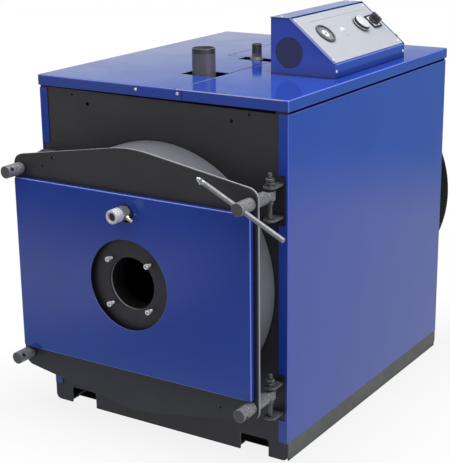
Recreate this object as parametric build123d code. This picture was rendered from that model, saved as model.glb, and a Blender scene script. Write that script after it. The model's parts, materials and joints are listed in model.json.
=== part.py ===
from build123d import *
import math
import os

# Hot-water boiler of the reverse-flame type: a round steel pressure vessel inside a
# square painted casing, with a burner door on swing bolts and a control box on the lid.
# Millimetres. X to the right, Y to the back, Z up. The door faces -Y. The origin is on
# the floor, at the middle of the front plate's foot.

# Furnace and smoke tubes, which set the size of what is built round them
FURNACE_RADIUS = 190.0
FURNACE_WALL = 6.0
FURNACE_END_GAP = 102.0
FURNACE_DISH = 45.0
SMOKE_TUBE_COUNT = 12
SMOKE_TUBE_RADIUS = 30.0
SMOKE_TUBE_WALL = 3.0
SMOKE_TUBE_GAP = 42.0
SHELL_GAP = 35.0

# Drum and smokebox
DRUM_WALL = 5.0
DRUM_REACH = 107.0
DRUM_INSET = 18.0
TUBE_PLATE = 8.0
TURNING_FACE = 12.0
SMOKEBOX_DEPTH = 173.0
SMOKEBOX_WALL = 4.0
SMOKEBOX_BEND = 10.0
FLUE_RADIUS = 100.0
FLUE_WALL = 3.0
FLUE_LENGTH = 70.0
FLUE_STEP = 1.5
FLUE_STEP_LENGTH = 12.0

# Casing
SIDE_SPACE = 38.0
TOP_SPACE = 135.5
FLOOR_SPACE = 105.5
CASING_DEPTH = 900.0
SHEET = 2.0
BEND = 3.0
PLATE = 5.0
FIT = 0.3
FOOT_FLANGE = 40.0
BASE_HEIGHT = 48.0
BASE_INSET = 1.0
PANEL_FLANGE = 26.0
HINGE_CUT_FLANGE = 7.0
HINGE_CUT_MARGIN = 18.0
PLATE_CORNER = 15.0
RAIL_WIDTH = 40.0
RAIL_WALL = 3.0
FORK_FROM_SIDE = 98.0
FORK_WIDTH = 84.0
FORK_HEIGHT = 45.0
FORK_CORNER = 8.0
PLATE_HOLE_RADIUS = 5.0
PLATE_HOLE_FROM_SIDE = 155.0
PLATE_HOLE_FROM_TOP = 64.0
SCREW_HOLE_RADIUS = 3.0
SCREW_HOLE_FROM_SIDE = 106.0
SCREW_HOLE_FROM_TOP = 44.0

# Covers on top
LID_FLANGE = 27.0
LID_PANEL_GAP = 6.5
LID_OVERHANG = 2.0
LID_SEAM_X = 58.0
LID_SEAM_GAP = 1.5
CENTER_COVER_WIDTH = 163.0
CENTER_COVER_STEP = 18.0
STRAP_WIDTH = 144.0
STRAP_PAST_SEAM = 19.0
STRAP_THICKNESS = 1.5
NOTCH_WIDTH = 106.0
NOTCH_GAP = 3.85
SAFETY_NOTCH_GAP = 8.55

# Water connections on top
FLOW_RADIUS = 30.15
FLOW_WALL = 3.6
FLOW_FROM_FRONT = 212.0
RETURN_FROM_REAR = 160.0
PIPE_RISE = 66.0
PIPE_THREAD = 13.0
THREAD_DEPTH = 0.6
SAFETY_RADIUS = 13.45
SAFETY_WALL = 2.6
SAFETY_FROM_FRONT = 472.0
SAFETY_RISE = 42.0
SAFETY_THREAD = 24.0
SAFETY_FLARE = 5.0
SAFETY_FLARE_HEIGHT = 8.0

# Door
DOOR_MARGIN = 10.0
DOOR_PLATE = 10.0
DOOR_PAST_DRUM = 5.0
DOOR_CORNER_RADIUS = 28.0
DOOR_CORNER_RISE = 9.0
GASKET_THICKNESS = 5.0
GASKET_WIDTH = 14.0
LINING_DEPTH = 48.0
LINING_GAP = 41.0
LINING_TAPER = 30.0
COVER_MARGIN = 10.0
COVER_BELOW_BOLT = 21.0
COVER_DEPTH = 15.0
COVER_CORNER = 6.0
COVER_BEND = 2.5
COVER_RING = 33.5
BURNER_RADIUS = 67.5
BURNER_PCD = 165.0
BURNER_BOLT_COUNT = 4
BURNER_BOLT_HOLE = 4.0
SLEEVE_WALL = 3.5
LIFTING_HOLE_RADIUS = 4.5
DRAIN_HOLE_RADIUS = 2.5

# Clamping bolts, hinge pins and ears
BOLT_FROM_SIDE = 29.0
BOLT_DROP = 82.5
BOLT_RADIUS = 7.0
BOLT_NECK = 11.0
BOLT_NECK_LENGTH = 7.0
PIN_REACH = 34.0
PIN_RADIUS = 7.0
PIN_RUNNING = 0.08
PIN_BELOW_EAR = 2.0
PIN_ABOVE_EAR = 32.0
PIN_CHAMFER = 1.2
PIN_END = 5.0
PIN_NUT_FLATS = 22.0
PIN_NUT_HEIGHT = 8.0
PIN_NUT_CHAMFER = 1.0
PIN_NUT_GAP = 1.5
LOCK_NUT_TURN = 20.0
WASHER_RADIUS = 14.0
WASHER_THICKNESS = 2.5
EYE_RADIUS = 13.0
EYE_HEIGHT = 22.0
EYE_CHAMFER = 1.0
EAR_RADIUS = 20.0
EAR_THICKNESS = 5.0
EAR_ABOVE = 17.0
EAR_BELOW = 57.0
COLLAR_RADIUS = 9.5
COLLAR_HEIGHT = 11.0
NUT_RADIUS = 16.0
NUT_LENGTH = 56.0
NUT_CHAMFER = 1.0
LOOSE_BORE_RADIUS = 13.0
LOOSE_HOLE_RADIUS = 12.0
BORE_DEPTH = 30.0
SPACER_LENGTH = 54.0
SPACER_ROUNDING = 6.0
LEFT_BOLT_PAST_PLATE = 13.0
BOLT_END_GAP = 2.0
BAR_RADIUS = 6.0
BAR_SLOPE = 26.5
BAR_LEFT = 122.0
BAR_RIGHT = 127.0
BAR_CHAMFER = 1.0
CROSS_HOLE_FROM_END = 12.0

# Sight glass
SIGHT_FROM_TOP = 42.0
SIGHT_HOLE_DROP = 5.0
SIGHT_HOLE_RADIUS = 22.0
SIGHT_TUBE_RADIUS = 14.0
SIGHT_TUBE_LENGTH = 58.0
SIGHT_BORE_RADIUS = 9.0
SIGHT_RING_RADIUS = 20.0
SIGHT_RING_DEPTH = 13.0
SIGHT_RING_CHAMFER = 2.0
SIGHT_PANE_DEPTH = 4.0
NIPPLE_RADIUS = 4.0
NIPPLE_LENGTH = 20.0
NIPPLE_BARB = 2.5
NIPPLE_HEX_RADIUS = 6.0
NIPPLE_HEX_LENGTH = 7.0
NIPPLE_FROM_COVER = 14.0
NIPPLE_TURN = 30.0

# Control box
CONTROL_FROM_SIDE = 39.5
CONTROL_WIDTH = 182.5
CONTROL_TOP_WIDTH = 53.5
CONTROL_HEIGHT = 141.5
CONTROL_LIP = 37.0
CONTROL_FROM_FRONT = 297.0
CONTROL_LENGTH = 403.5
CONTROL_SHEET = 1.5
CONTROL_BEND = 2.5
CAP_RADIUS = 39.0
CAP_FROM_BACK = 53.0
CAP_HEIGHT = 55.0
CAP_RECESS = 0.7
CAP_THICKNESS = 1.5
CAP_LIP = 2.5
GLAND_RADIUS = 9.0
GLAND_LENGTH = 16.0
GLAND_COLLAR = 4.0
GLAND_LIP = 2.0
GLAND_DOME = 4.0
GLAND_UP = 34.0
GLAND_DROP = 12.0
FACE_DROP = 3.0
FACE_MARGIN = 3.0
FACE_THICKNESS = 2.0
INSTRUMENT_UP = 94.0
GAUGE_FROM_FRONT = 86.0
LAMP_FROM_FRONT = 182.5
KNOB_FROM_REAR = 121.5
SELECTOR_FROM_REAR = 47.0
GAUGE_RADIUS = 30.0
GAUGE_DEPTH = 5.5
GAUGE_DIAL_RADIUS = 24.0
GAUGE_DIAL_DEPTH = 2.5
LAMP_RADIUS = 5.5
LAMP_DEPTH = 4.0
KNOB_RADIUS = 25.0
KNOB_GRIP_RADIUS = 22.0
KNOB_SKIRT = 5.0
KNOB_DEPTH = 22.0
SHAFT_RADIUS = 3.0
SHAFT_REACH = 12.0
SELECTOR_PLATE = 44.0
SELECTOR_PLATE_CORNER = 3.0
SELECTOR_PLATE_DEPTH = 3.0
SELECTOR_RADIUS = 15.0
SELECTOR_BASE = 7.0
SELECTOR_GRIP_WIDTH = 10.0
SELECTOR_DEPTH = 20.0
SELECTOR_ROUNDING = 1.5

# Sizes that follow from the ones above
SMOKE_TUBE_RING = FURNACE_RADIUS + SMOKE_TUBE_GAP + SMOKE_TUBE_RADIUS
DRUM_INNER = SMOKE_TUBE_RING + SMOKE_TUBE_RADIUS + SHELL_GAP
DRUM_RADIUS = DRUM_INNER + DRUM_WALL
DRUM_Z = DRUM_RADIUS + FLOOR_SPACE
HALF = DRUM_RADIUS + SIDE_SPACE
CASING_HEIGHT = DRUM_Z + DRUM_RADIUS + TOP_SPACE
FRONT = -(SHEET + FOOT_FLANGE / 2)
REAR = FRONT + CASING_DEPTH
PLATE_FRONT = FRONT + SHEET
PLATE_REAR = REAR - SHEET
PANEL_TOP = CASING_HEIGHT - LID_FLANGE - LID_PANEL_GAP
LID_UNDER = CASING_HEIGHT - SHEET
LID_EDGE = HALF + LID_OVERHANG
LID_FRONT = FRONT - LID_OVERHANG
LID_REAR = REAR + LID_OVERHANG
INNER_BEND = BEND - SHEET
FORK_X = HALF - FORK_FROM_SIDE

DRUM_MOUTH = FRONT - DRUM_REACH
DRUM_END = REAR - DRUM_INSET
TUBE_PLATE_FRONT = FRONT + TURNING_FACE
REAR_TUBE_PLATE_FRONT = DRUM_END - TUBE_PLATE
FLOW_Y = FRONT + FLOW_FROM_FRONT
RETURN_Y = REAR - RETURN_FROM_REAR
SAFETY_Y = FRONT + SAFETY_FROM_FRONT

DOOR_BACK = DRUM_MOUTH - GASKET_THICKNESS
DOOR_FRONT = DOOR_BACK - DOOR_PLATE
COVER_FRONT = DOOR_FRONT - COVER_DEPTH
BOLT_X = HALF - BOLT_FROM_SIDE
BOLT_Z = DRUM_RADIUS - BOLT_DROP
BOLT_HEIGHTS = (DRUM_Z - BOLT_Z, DRUM_Z + BOLT_Z)
PIN_Y = FRONT - PIN_REACH
COVER_WIDTH = 2 * (HALF - DOOR_MARGIN - COVER_MARGIN)
COVER_HEIGHT = 2 * (BOLT_Z - COVER_BELOW_BOLT)
SIGHT_Z = DRUM_Z + COVER_HEIGHT / 2 - SIGHT_FROM_TOP

CONTROL_X1 = HALF - CONTROL_FROM_SIDE
CONTROL_X0 = CONTROL_X1 - CONTROL_WIDTH
CONTROL_Y0 = FRONT + CONTROL_FROM_FRONT
CONTROL_Y1 = CONTROL_Y0 + CONTROL_LENGTH
CAP_X = CONTROL_X0 + CAP_FROM_BACK
CAP_Z = CASING_HEIGHT + CAP_HEIGHT
SLOPE_RUN = CONTROL_WIDTH - CONTROL_TOP_WIDTH
SLOPE_RISE = CONTROL_HEIGHT - CONTROL_LIP
SLOPE = math.hypot(SLOPE_RUN, SLOPE_RISE)
FACE_TOP = FACE_THICKNESS - FACE_DROP
KNOB_ALONG = CONTROL_LENGTH - KNOB_FROM_REAR
SELECTOR_ALONG = CONTROL_LENGTH - SELECTOR_FROM_REAR


def block(x0, x1, y0, y1, z0, z1):
    """A box from its lowest to its highest corner."""
    centre = Pos((x0 + x1) / 2, (y0 + y1) / 2, (z0 + z1) / 2)
    return centre * Box(x1 - x0, y1 - y0, z1 - z0)


def rod_y(radius, y0, y1, x=0.0, z=DRUM_Z):
    """A round bar along Y."""
    return Pos(x, (y0 + y1) / 2, z) * Rot(90, 0, 0) * Cylinder(radius, y1 - y0)


def rod_z(radius, z0, z1, x, y):
    """A round bar along Z."""
    return Pos(x, y, (z0 + z1) / 2) * Cylinder(radius, z1 - z0)


def ring_y(outer, inner, y0, y1, x=0.0, z=DRUM_Z):
    """A tube along Y."""
    return rod_y(outer, y0, y1, x, z) - rod_y(inner, y0 - 1, y1 + 1, x, z)


def turned(*points):
    """A piece turned about Z, from the radius and height of each point of its profile."""
    return revolve(Plane.XZ * make_face(Polyline(*points, close=True)), Axis.Z)


def upright(sketch, y0, y1):
    """A sketch drawn in X and Z, thickened from y0 back to y1."""
    return extrude(Plane.XZ.offset(-y1) * sketch, y1 - y0)


def right_and_left(solids, side):
    """A group of solids drawn on the right, mirrored for the left."""
    group = Compound(solids)
    return group if side > 0 else mirror(group, Plane.YZ)


# Casing
def end_plate(y0, y1):
    """Front or rear plate: it stands on the floor, carries the drum and ends under the lids."""
    base = Pos(0, BASE_HEIGHT / 2) * Rectangle(2 * (HALF - BASE_INSET), BASE_HEIGHT)
    upper_width = 2 * (HALF - SHEET - INNER_BEND)
    upper = Pos(0, (BASE_HEIGHT + LID_UNDER) / 2) * Rectangle(upper_width, LID_UNDER - BASE_HEIGHT)
    outline = base + upper
    for side in (-1, 1):
        outline -= Pos(side * FORK_X, FORK_HEIGHT / 2) * Rectangle(FORK_WIDTH, FORK_HEIGHT)
    feet = outline.vertices().group_by(Axis.Y)[0].sort_by(Axis.X)
    outline = fillet([feet[0], feet[-1]], PLATE_CORNER)
    pocket = outline.vertices().filter_by_position(Axis.Y, FORK_HEIGHT - FIT, FORK_HEIGHT + FIT)
    outline = fillet(pocket, FORK_CORNER)
    outline -= Pos(0, DRUM_Z) * Circle(DRUM_RADIUS + FIT)
    return upright(outline, y0, y1)


def foot_flanges(y0, y1):
    """Folded feet of an end plate, between and beside the fork pockets."""
    inner = FORK_X - FORK_WIDTH / 2 - FORK_CORNER
    outer = FORK_X + FORK_WIDTH / 2 + FORK_CORNER
    edge = HALF - PLATE_CORNER - BASE_INSET
    feet = block(-inner, inner, y0, y1, 0, PLATE)
    feet += block(outer, edge, y0, y1, 0, PLATE)
    feet += block(-edge, -outer, y0, y1, 0, PLATE)
    return feet


def front_plate():
    """Dark front plate with the drum's hole and the four sheet-fixing holes near its top."""
    y1 = PLATE_FRONT + PLATE
    plate = end_plate(PLATE_FRONT, y1)
    for side in (-1, 1):
        plate -= rod_y(SCREW_HOLE_RADIUS, FRONT, y1 + 1, side * (HALF - SCREW_HOLE_FROM_SIDE),
                       CASING_HEIGHT - SCREW_HOLE_FROM_TOP)
        plate -= rod_y(PLATE_HOLE_RADIUS, FRONT, y1 + 1, side * (HALF - PLATE_HOLE_FROM_SIDE),
                       CASING_HEIGHT - PLATE_HOLE_FROM_TOP)
    return plate + foot_flanges(PLATE_FRONT, PLATE_FRONT + FOOT_FLANGE)


def rear_plate():
    plate = end_plate(PLATE_REAR - PLATE, PLATE_REAR)
    return plate + foot_flanges(PLATE_REAR - FOOT_FLANGE, PLATE_REAR)


def side_rail(side):
    """Channel along the foot of the casing, open to the inside."""
    y0 = PLATE_FRONT + PLATE
    y1 = PLATE_REAR - PLATE
    outer = HALF - BASE_INSET
    foot = FOOT_FLANGE - PLATE + FIT
    rail = block(outer - RAIL_WIDTH, outer, y0, y1, 0, BASE_HEIGHT)
    inner = outer - RAIL_WALL
    open_side = outer - RAIL_WIDTH - 1
    rail -= block(open_side, inner, y0 - 1, y1 + 1, RAIL_WALL, BASE_HEIGHT - RAIL_WALL)
    for a, b in ((y0, y0 + foot), (y1 - foot, y1)):
        rail -= block(open_side, inner, a - 1, b + 1, -1, PLATE + FIT)
    return rail if side > 0 else mirror(rail, Plane.YZ)


def bent_corner(x1, y0, y1, z0, z1, radius):
    """The block that a side sheet folds round, with its three outer edges rounded."""
    solid = block(HALF - PANEL_FLANGE, x1, y0, y1, z0, z1)
    folds = solid.edges().filter_by(Axis.Z).group_by(Axis.X)[-1]
    folds += solid.edges().filter_by(Axis.Y).group_by(Axis.X)[-1].sort_by(Axis.Z)[-1:]
    return fillet(folds, radius)


def side_panel(side):
    """Painted side sheet with a folded flange at each end and on top, cut back at the hinge ears."""
    panel = bent_corner(HALF, FRONT, REAR, BASE_HEIGHT, PANEL_TOP, BEND)
    inside = HALF - SHEET
    flange_edge = HALF - PANEL_FLANGE - 1
    panel -= bent_corner(inside, PLATE_FRONT, PLATE_REAR, BASE_HEIGHT - 1, PANEL_TOP - SHEET, INNER_BEND)
    for y0 in (PLATE_FRONT, PLATE_REAR - PLATE - FIT):
        panel -= block(flange_edge, inside, y0, y0 + PLATE + FIT, PANEL_TOP - BEND, PANEL_TOP + 1)
    for z in BOLT_HEIGHTS:
        low = z - EAR_BELOW - EAR_THICKNESS - HINGE_CUT_MARGIN
        high = z + EAR_ABOVE + EAR_THICKNESS + HINGE_CUT_MARGIN
        panel -= block(flange_edge, HALF - HINGE_CUT_FLANGE, FRONT - 1, PLATE_FRONT, low, high)
    return panel if side > 0 else mirror(panel, Plane.YZ)


# Covers on top
def rounded_tray(inset, radius, z0):
    """A block under the lids' outline, with its top and corner edges rounded."""
    edge = LID_EDGE - inset
    solid = block(-edge, edge, LID_FRONT + inset, LID_REAR - inset, z0, CASING_HEIGHT - inset)
    folds = solid.edges().filter_by(Axis.Z) + solid.edges().group_by(Axis.Z)[-1]
    return fillet(folds, radius)


def all_lids():
    """The three lids as one tray, before the seams and pipe notches are cut."""
    low = CASING_HEIGHT - LID_FLANGE
    return rounded_tray(0, BEND, low) - rounded_tray(SHEET, INNER_BEND, low - 1)


def lid_zone(x0, x1, y0, y1):
    """Everything at the height of the lids between two places in X and two in Y."""
    return block(x0, x1, y0, y1, CASING_HEIGHT - LID_FLANGE - 1, CASING_HEIGHT + 1)


def pipe_notch(y, radius):
    """Clearance through the lids for a pipe, from the left edge of the notch to the seam."""
    return lid_zone(LID_SEAM_X - NOTCH_WIDTH, LID_SEAM_X + 1, y - radius, y + radius)


def pipe_notches():
    half = FLOW_RADIUS + NOTCH_GAP
    notches = pipe_notch(FLOW_Y, half) + pipe_notch(RETURN_Y, half)
    return notches + pipe_notch(SAFETY_Y, SAFETY_RADIUS + SAFETY_NOTCH_GAP)


def center_zone(gap):
    """The loose cover's share of the lids, drawn in by a gap."""
    seam = LID_SEAM_X - LID_SEAM_GAP / 2
    return lid_zone(seam - CENTER_COVER_WIDTH + gap, seam, SAFETY_Y + CENTER_COVER_STEP + gap, LID_REAR + 1)


def top_cover_left():
    lid = all_lids() & lid_zone(-LID_EDGE - 1, LID_SEAM_X - LID_SEAM_GAP / 2, LID_FRONT - 1, LID_REAR + 1)
    return lid - center_zone(0) - pipe_notches()


def top_cover_center():
    """Loose cover over the return pipe, behind the safety pipe."""
    return (all_lids() & center_zone(LID_SEAM_GAP)) - pipe_notches()


def top_cover_right():
    return all_lids() & lid_zone(LID_SEAM_X + LID_SEAM_GAP / 2, LID_EDGE + 1, LID_FRONT - 1, LID_REAR + 1)


def lid_strap():
    """Joint strap across the seam on the front flange."""
    x1 = LID_SEAM_X + STRAP_PAST_SEAM
    low = CASING_HEIGHT - LID_FLANGE
    return block(x1 - STRAP_WIDTH, x1, LID_FRONT - STRAP_THICKNESS, LID_FRONT, low, CASING_HEIGHT - BEND)


# Pressure vessel
def drum_shell():
    shell = ring_y(DRUM_RADIUS, DRUM_INNER, DRUM_MOUTH, DRUM_END)
    for y, radius in ((FLOW_Y, FLOW_RADIUS), (RETURN_Y, FLOW_RADIUS), (SAFETY_Y, SAFETY_RADIUS)):
        shell -= rod_z(radius + FIT, DRUM_Z, DRUM_Z + DRUM_RADIUS + 1, 0, y)
    return shell


def smoke_tube_places():
    """Centres of the smoke tubes round the furnace, as X and Z."""
    step = 2 * math.pi / SMOKE_TUBE_COUNT
    turns = [(n + 0.5) * step for n in range(SMOKE_TUBE_COUNT)]
    return [(SMOKE_TUBE_RING * math.sin(a), DRUM_Z + SMOKE_TUBE_RING * math.cos(a)) for a in turns]


def tube_plate(y0, with_furnace):
    y1 = y0 + TUBE_PLATE
    plate = rod_y(DRUM_INNER - FIT, y0, y1)
    if with_furnace:
        plate -= rod_y(FURNACE_RADIUS + FIT, y0 - 1, y1 + 1)
    for x, z in smoke_tube_places():
        plate -= rod_y(SMOKE_TUBE_RADIUS + FIT, y0 - 1, y1 + 1, x, z)
    return plate


def dished_rod(radius, y0, y1, rise):
    """A round bar along Y whose far end is a shallow dome that reaches y1."""
    straight = y1 - rise
    dome_radius = (radius ** 2 + rise ** 2) / (2 * rise)
    dome = rod_y(radius, straight, y1) & (Pos(0, y1 - dome_radius, DRUM_Z) * Sphere(dome_radius))
    return rod_y(radius, y0, straight) + dome


def furnace_tube():
    """Furnace: a wide tube with a dished blind end, where the flame turns back."""
    y1 = REAR_TUBE_PLATE_FRONT - FURNACE_END_GAP
    outer = dished_rod(FURNACE_RADIUS, TUBE_PLATE_FRONT, y1, FURNACE_DISH)
    inner_radius = FURNACE_RADIUS - FURNACE_WALL
    return outer - dished_rod(inner_radius, TUBE_PLATE_FRONT - 1, y1 - FURNACE_WALL, FURNACE_DISH)


def smoke_tubes():
    bore = SMOKE_TUBE_RADIUS - SMOKE_TUBE_WALL
    tubes = []
    for x, z in smoke_tube_places():
        tubes.append(ring_y(SMOKE_TUBE_RADIUS, bore, TUBE_PLATE_FRONT, DRUM_END, x, z).solid())
    return Compound(tubes)


def smokebox_rod(radius, y0, y1, rounding):
    """A round bar along Y with a rounded far edge."""
    rod = rod_y(radius, y0, y1)
    return fillet(rod.edges().sort_by(Axis.Y)[-1:], rounding)


def rear_smokebox():
    """Smoke collecting box at the back, as wide as the drum."""
    y0 = DRUM_END + FIT
    y1 = y0 + SMOKEBOX_DEPTH
    wall = SMOKEBOX_WALL
    box = smokebox_rod(DRUM_RADIUS, y0, y1, SMOKEBOX_BEND)
    box -= smokebox_rod(DRUM_RADIUS - wall, y0 - 1, y1 - wall, SMOKEBOX_BEND - wall)
    return box - rod_y(FLUE_RADIUS + FLUE_STEP + FIT, y0, y1 + 1)


def flue_outlet():
    """Short spigot on the smokebox, with a step that stops the flue pipe pushed over it."""
    bore = FLUE_RADIUS - FLUE_WALL
    root = FLUE_RADIUS + FLUE_STEP
    step = SMOKEBOX_WALL + FLUE_STEP_LENGTH
    end = SMOKEBOX_WALL + FLUE_LENGTH
    outlet = turned((bore, 0), (root, 0), (root, step), (FLUE_RADIUS, step), (FLUE_RADIUS, end), (bore, end))
    return Pos(0, DRUM_END + SMOKEBOX_DEPTH - SMOKEBOX_WALL, DRUM_Z) * Rot(-90, 0, 0) * outlet


def top_pipe(y, radius, wall, rise, thread, flare, flare_height):
    """A connection pipe that stands on the drum and rises through the lid to its threaded end."""
    z0 = DRUM_Z + math.sqrt(DRUM_INNER ** 2 - radius ** 2)
    z1 = CASING_HEIGHT + rise
    cut = radius - THREAD_DEPTH
    profile = [(radius - wall, z0), (radius, z0)]
    if flare:
        profile += [(radius, LID_UNDER), (radius + flare, LID_UNDER), (radius + flare, CASING_HEIGHT),
                    (radius, CASING_HEIGHT + flare_height)]
    profile += [(radius, z1 - thread), (cut, z1 - thread), (cut, z1 - THREAD_DEPTH)]
    profile += [(cut - THREAD_DEPTH, z1), (radius - wall, z1)]
    return Pos(0, y, 0) * turned(*profile)


def flow_pipe():
    return top_pipe(FLOW_Y, FLOW_RADIUS, FLOW_WALL, PIPE_RISE, PIPE_THREAD, 0, 0)


def return_pipe():
    return top_pipe(RETURN_Y, FLOW_RADIUS, FLOW_WALL, PIPE_RISE, PIPE_THREAD, 0, 0)


def safety_pipe():
    return top_pipe(SAFETY_Y, SAFETY_RADIUS, SAFETY_WALL, SAFETY_RISE, SAFETY_THREAD,
                    SAFETY_FLARE, SAFETY_FLARE_HEIGHT)


# Door
def door_outline():
    """Door plate outline: it bulges over the drum and reaches out to the four clamping bolts."""
    corner_x = HALF - DOOR_MARGIN - DOOR_CORNER_RADIUS
    corner_z = BOLT_Z + DOOR_CORNER_RISE
    edges = Circle(DRUM_RADIUS + DOOR_PAST_DRUM).edges()
    for sx in (-1, 1):
        for sz in (-1, 1):
            edges += (Pos(sx * corner_x, sz * corner_z) * Circle(DOOR_CORNER_RADIUS)).edges()
    return Pos(0, DRUM_Z) * make_hull(edges)


def bolt_places():
    """The four clamping bolts, as the side in X and the height."""
    return [(side, z) for side in (-1, 1) for z in BOLT_HEIGHTS]


def burner_bolt_places():
    """Centres of the burner's bolts, as X and Z."""
    step = 2 * math.pi / BURNER_BOLT_COUNT
    turns = [(n + 0.5) * step for n in range(BURNER_BOLT_COUNT)]
    return [(BURNER_PCD / 2 * math.cos(a), DRUM_Z + BURNER_PCD / 2 * math.sin(a)) for a in turns]


def spare_holes():
    """Small holes near the plate's edge: how far in from the bolts, and up from them."""
    return [(-1, 108.0, 39.5, LIFTING_HOLE_RADIUS), (-1, 74.0, 14.5, DRAIN_HOLE_RADIUS),
            (1, 118.0, 39.5, DRAIN_HOLE_RADIUS), (1, 87.0, -2 * BOLT_Z - 19.5, DRAIN_HOLE_RADIUS)]


def door_plate():
    """Thick plate that carries the burner and closes the drum."""
    y0 = DOOR_FRONT - 1
    y1 = DOOR_BACK + 1
    plate = upright(door_outline(), DOOR_FRONT, DOOR_BACK)
    plate -= rod_y(BURNER_RADIUS, y0, y1)
    plate -= rod_y(SIGHT_BORE_RADIUS, y0, y1, 0, SIGHT_Z)
    for side, z in bolt_places():
        plate -= rod_y(BOLT_RADIUS + FIT if side > 0 else LOOSE_HOLE_RADIUS, y0, y1, side * BOLT_X, z)
    for x, z in burner_bolt_places():
        plate -= rod_y(BURNER_BOLT_HOLE, y0, y1, x, z)
    for side, inwards, up, radius in spare_holes():
        plate -= rod_y(radius, y0, y1, side * (BOLT_X - inwards), DRUM_Z + BOLT_Z + up)
    return plate


def door_gasket():
    outer = DRUM_RADIUS - 1
    return ring_y(outer, outer - GASKET_WIDTH, DOOR_BACK, DRUM_MOUTH - FIT)


def door_lining():
    """Refractory plug on the back of the door, coned so that it swings clear of the drum."""
    y1 = DOOR_BACK + LINING_DEPTH
    base = DRUM_INNER - LINING_GAP
    profile = Polyline((0, DOOR_BACK), (base, DOOR_BACK), (base - LINING_TAPER, y1), (0, y1), close=True)
    plug = Pos(0, 0, DRUM_Z) * revolve(make_face(profile), Axis.Y)
    plug -= rod_y(BURNER_RADIUS + SLEEVE_WALL + FIT, DOOR_BACK - 1, y1 + 1)
    return plug - rod_y(SIGHT_BORE_RADIUS, DOOR_BACK - 1, y1 + 1, 0, SIGHT_Z)


def burner_sleeve():
    return ring_y(BURNER_RADIUS + SLEEVE_WALL, BURNER_RADIUS, DOOR_BACK, DOOR_BACK + LINING_DEPTH)


def cover_block(inset, y0, y1):
    """A block behind the door cover's face, with rounded corners and front edge."""
    shape = RectangleRounded(COVER_WIDTH - 2 * inset, COVER_HEIGHT - 2 * inset, COVER_CORNER - inset)
    solid = upright(Pos(0, DRUM_Z) * shape, y0, y1)
    return fillet(solid.faces().sort_by(Axis.Y)[0].outer_wire().edges(), COVER_BEND - inset)


def door_cover():
    """Painted tray over the middle of the door, cut out round the burner opening."""
    cover = cover_block(0, COVER_FRONT, DOOR_FRONT) - cover_block(SHEET, COVER_FRONT + SHEET, DOOR_FRONT + 1)
    cover -= rod_y(BURNER_PCD / 2 + COVER_RING, COVER_FRONT - 1, DOOR_FRONT + 1)
    return cover - rod_y(SIGHT_HOLE_RADIUS, COVER_FRONT - 1, DOOR_FRONT + 1, 0, SIGHT_Z - SIGHT_HOLE_DROP)


def sight_tube():
    """Neck and ring of the flame sight glass, open at the front down to its pane."""
    bore = SIGHT_BORE_RADIUS
    neck = SIGHT_TUBE_LENGTH
    end = neck + SIGHT_RING_DEPTH
    chamfered = SIGHT_RING_RADIUS - SIGHT_RING_CHAMFER
    pane = end - SIGHT_RING_DEPTH / 2
    body = turned((bore, 0), (SIGHT_TUBE_RADIUS, 0), (SIGHT_TUBE_RADIUS, neck), (SIGHT_RING_RADIUS, neck),
                  (SIGHT_RING_RADIUS, end - SIGHT_RING_CHAMFER), (chamfered, end), (SIGHT_TUBE_RADIUS, end),
                  (SIGHT_TUBE_RADIUS, pane - SIGHT_PANE_DEPTH), (bore, pane - SIGHT_PANE_DEPTH))
    return Pos(0, DOOR_FRONT, SIGHT_Z) * Rot(90, 0, 0) * body


def sight_glass():
    y1 = DOOR_FRONT - SIGHT_TUBE_LENGTH - SIGHT_RING_DEPTH / 2
    return rod_y(SIGHT_TUBE_RADIUS - FIT, y1, y1 + SIGHT_PANE_DEPTH, 0, SIGHT_Z)


def sight_nipple():
    """Air nipple on the side of the sight tube, with a hexagon and a hose tip."""
    y = COVER_FRONT - NIPPLE_FROM_COVER
    length = NIPPLE_LENGTH
    radius = NIPPLE_RADIUS
    groove = length - 2 * NIPPLE_BARB
    tip = turned((0, 0), (radius, 0), (radius, groove - NIPPLE_BARB / 2), (radius - 1, groove),
                 (radius, groove + NIPPLE_BARB / 2), (radius - 1, length), (0, length))
    tip += extrude(RegularPolygon(NIPPLE_HEX_RADIUS, 6), NIPPLE_HEX_LENGTH)
    return Pos(0, y, SIGHT_Z) * Rot(0, 90 + NIPPLE_TURN, 0) * Pos(0, 0, SIGHT_TUBE_RADIUS) * tip


# Hinges and clamps
def hinge_ear(z0):
    """Ear plate with a round nose, welded to the front plate."""
    ear = block(BOLT_X - EAR_RADIUS, BOLT_X + EAR_RADIUS, PIN_Y, PLATE_FRONT, z0, z0 + EAR_THICKNESS)
    ear += rod_z(EAR_RADIUS, z0, z0 + EAR_THICKNESS, BOLT_X, PIN_Y)
    return ear - rod_z(PIN_RADIUS + PIN_RUNNING, z0 - 1, z0 + EAR_THICKNESS + 1, BOLT_X, PIN_Y)


def hinge_ears(side):
    ears = []
    for z in BOLT_HEIGHTS:
        ears.append(hinge_ear(z + EAR_ABOVE).solid())
        ears.append(hinge_ear(z - EAR_BELOW - EAR_THICKNESS).solid())
    return right_and_left(ears, side)


def pin_nut(z0):
    """A hexagon nut with chamfered corners."""
    corner = PIN_NUT_FLATS / math.sqrt(3)
    top = PIN_NUT_HEIGHT
    cut = PIN_NUT_CHAMFER
    edge = corner - cut
    envelope = turned((0, 0), (edge, 0), (corner, cut), (corner, top - cut), (edge, top), (0, top))
    return Pos(0, 0, z0) * (extrude(RegularPolygon(corner, 6), top) & envelope)


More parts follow.
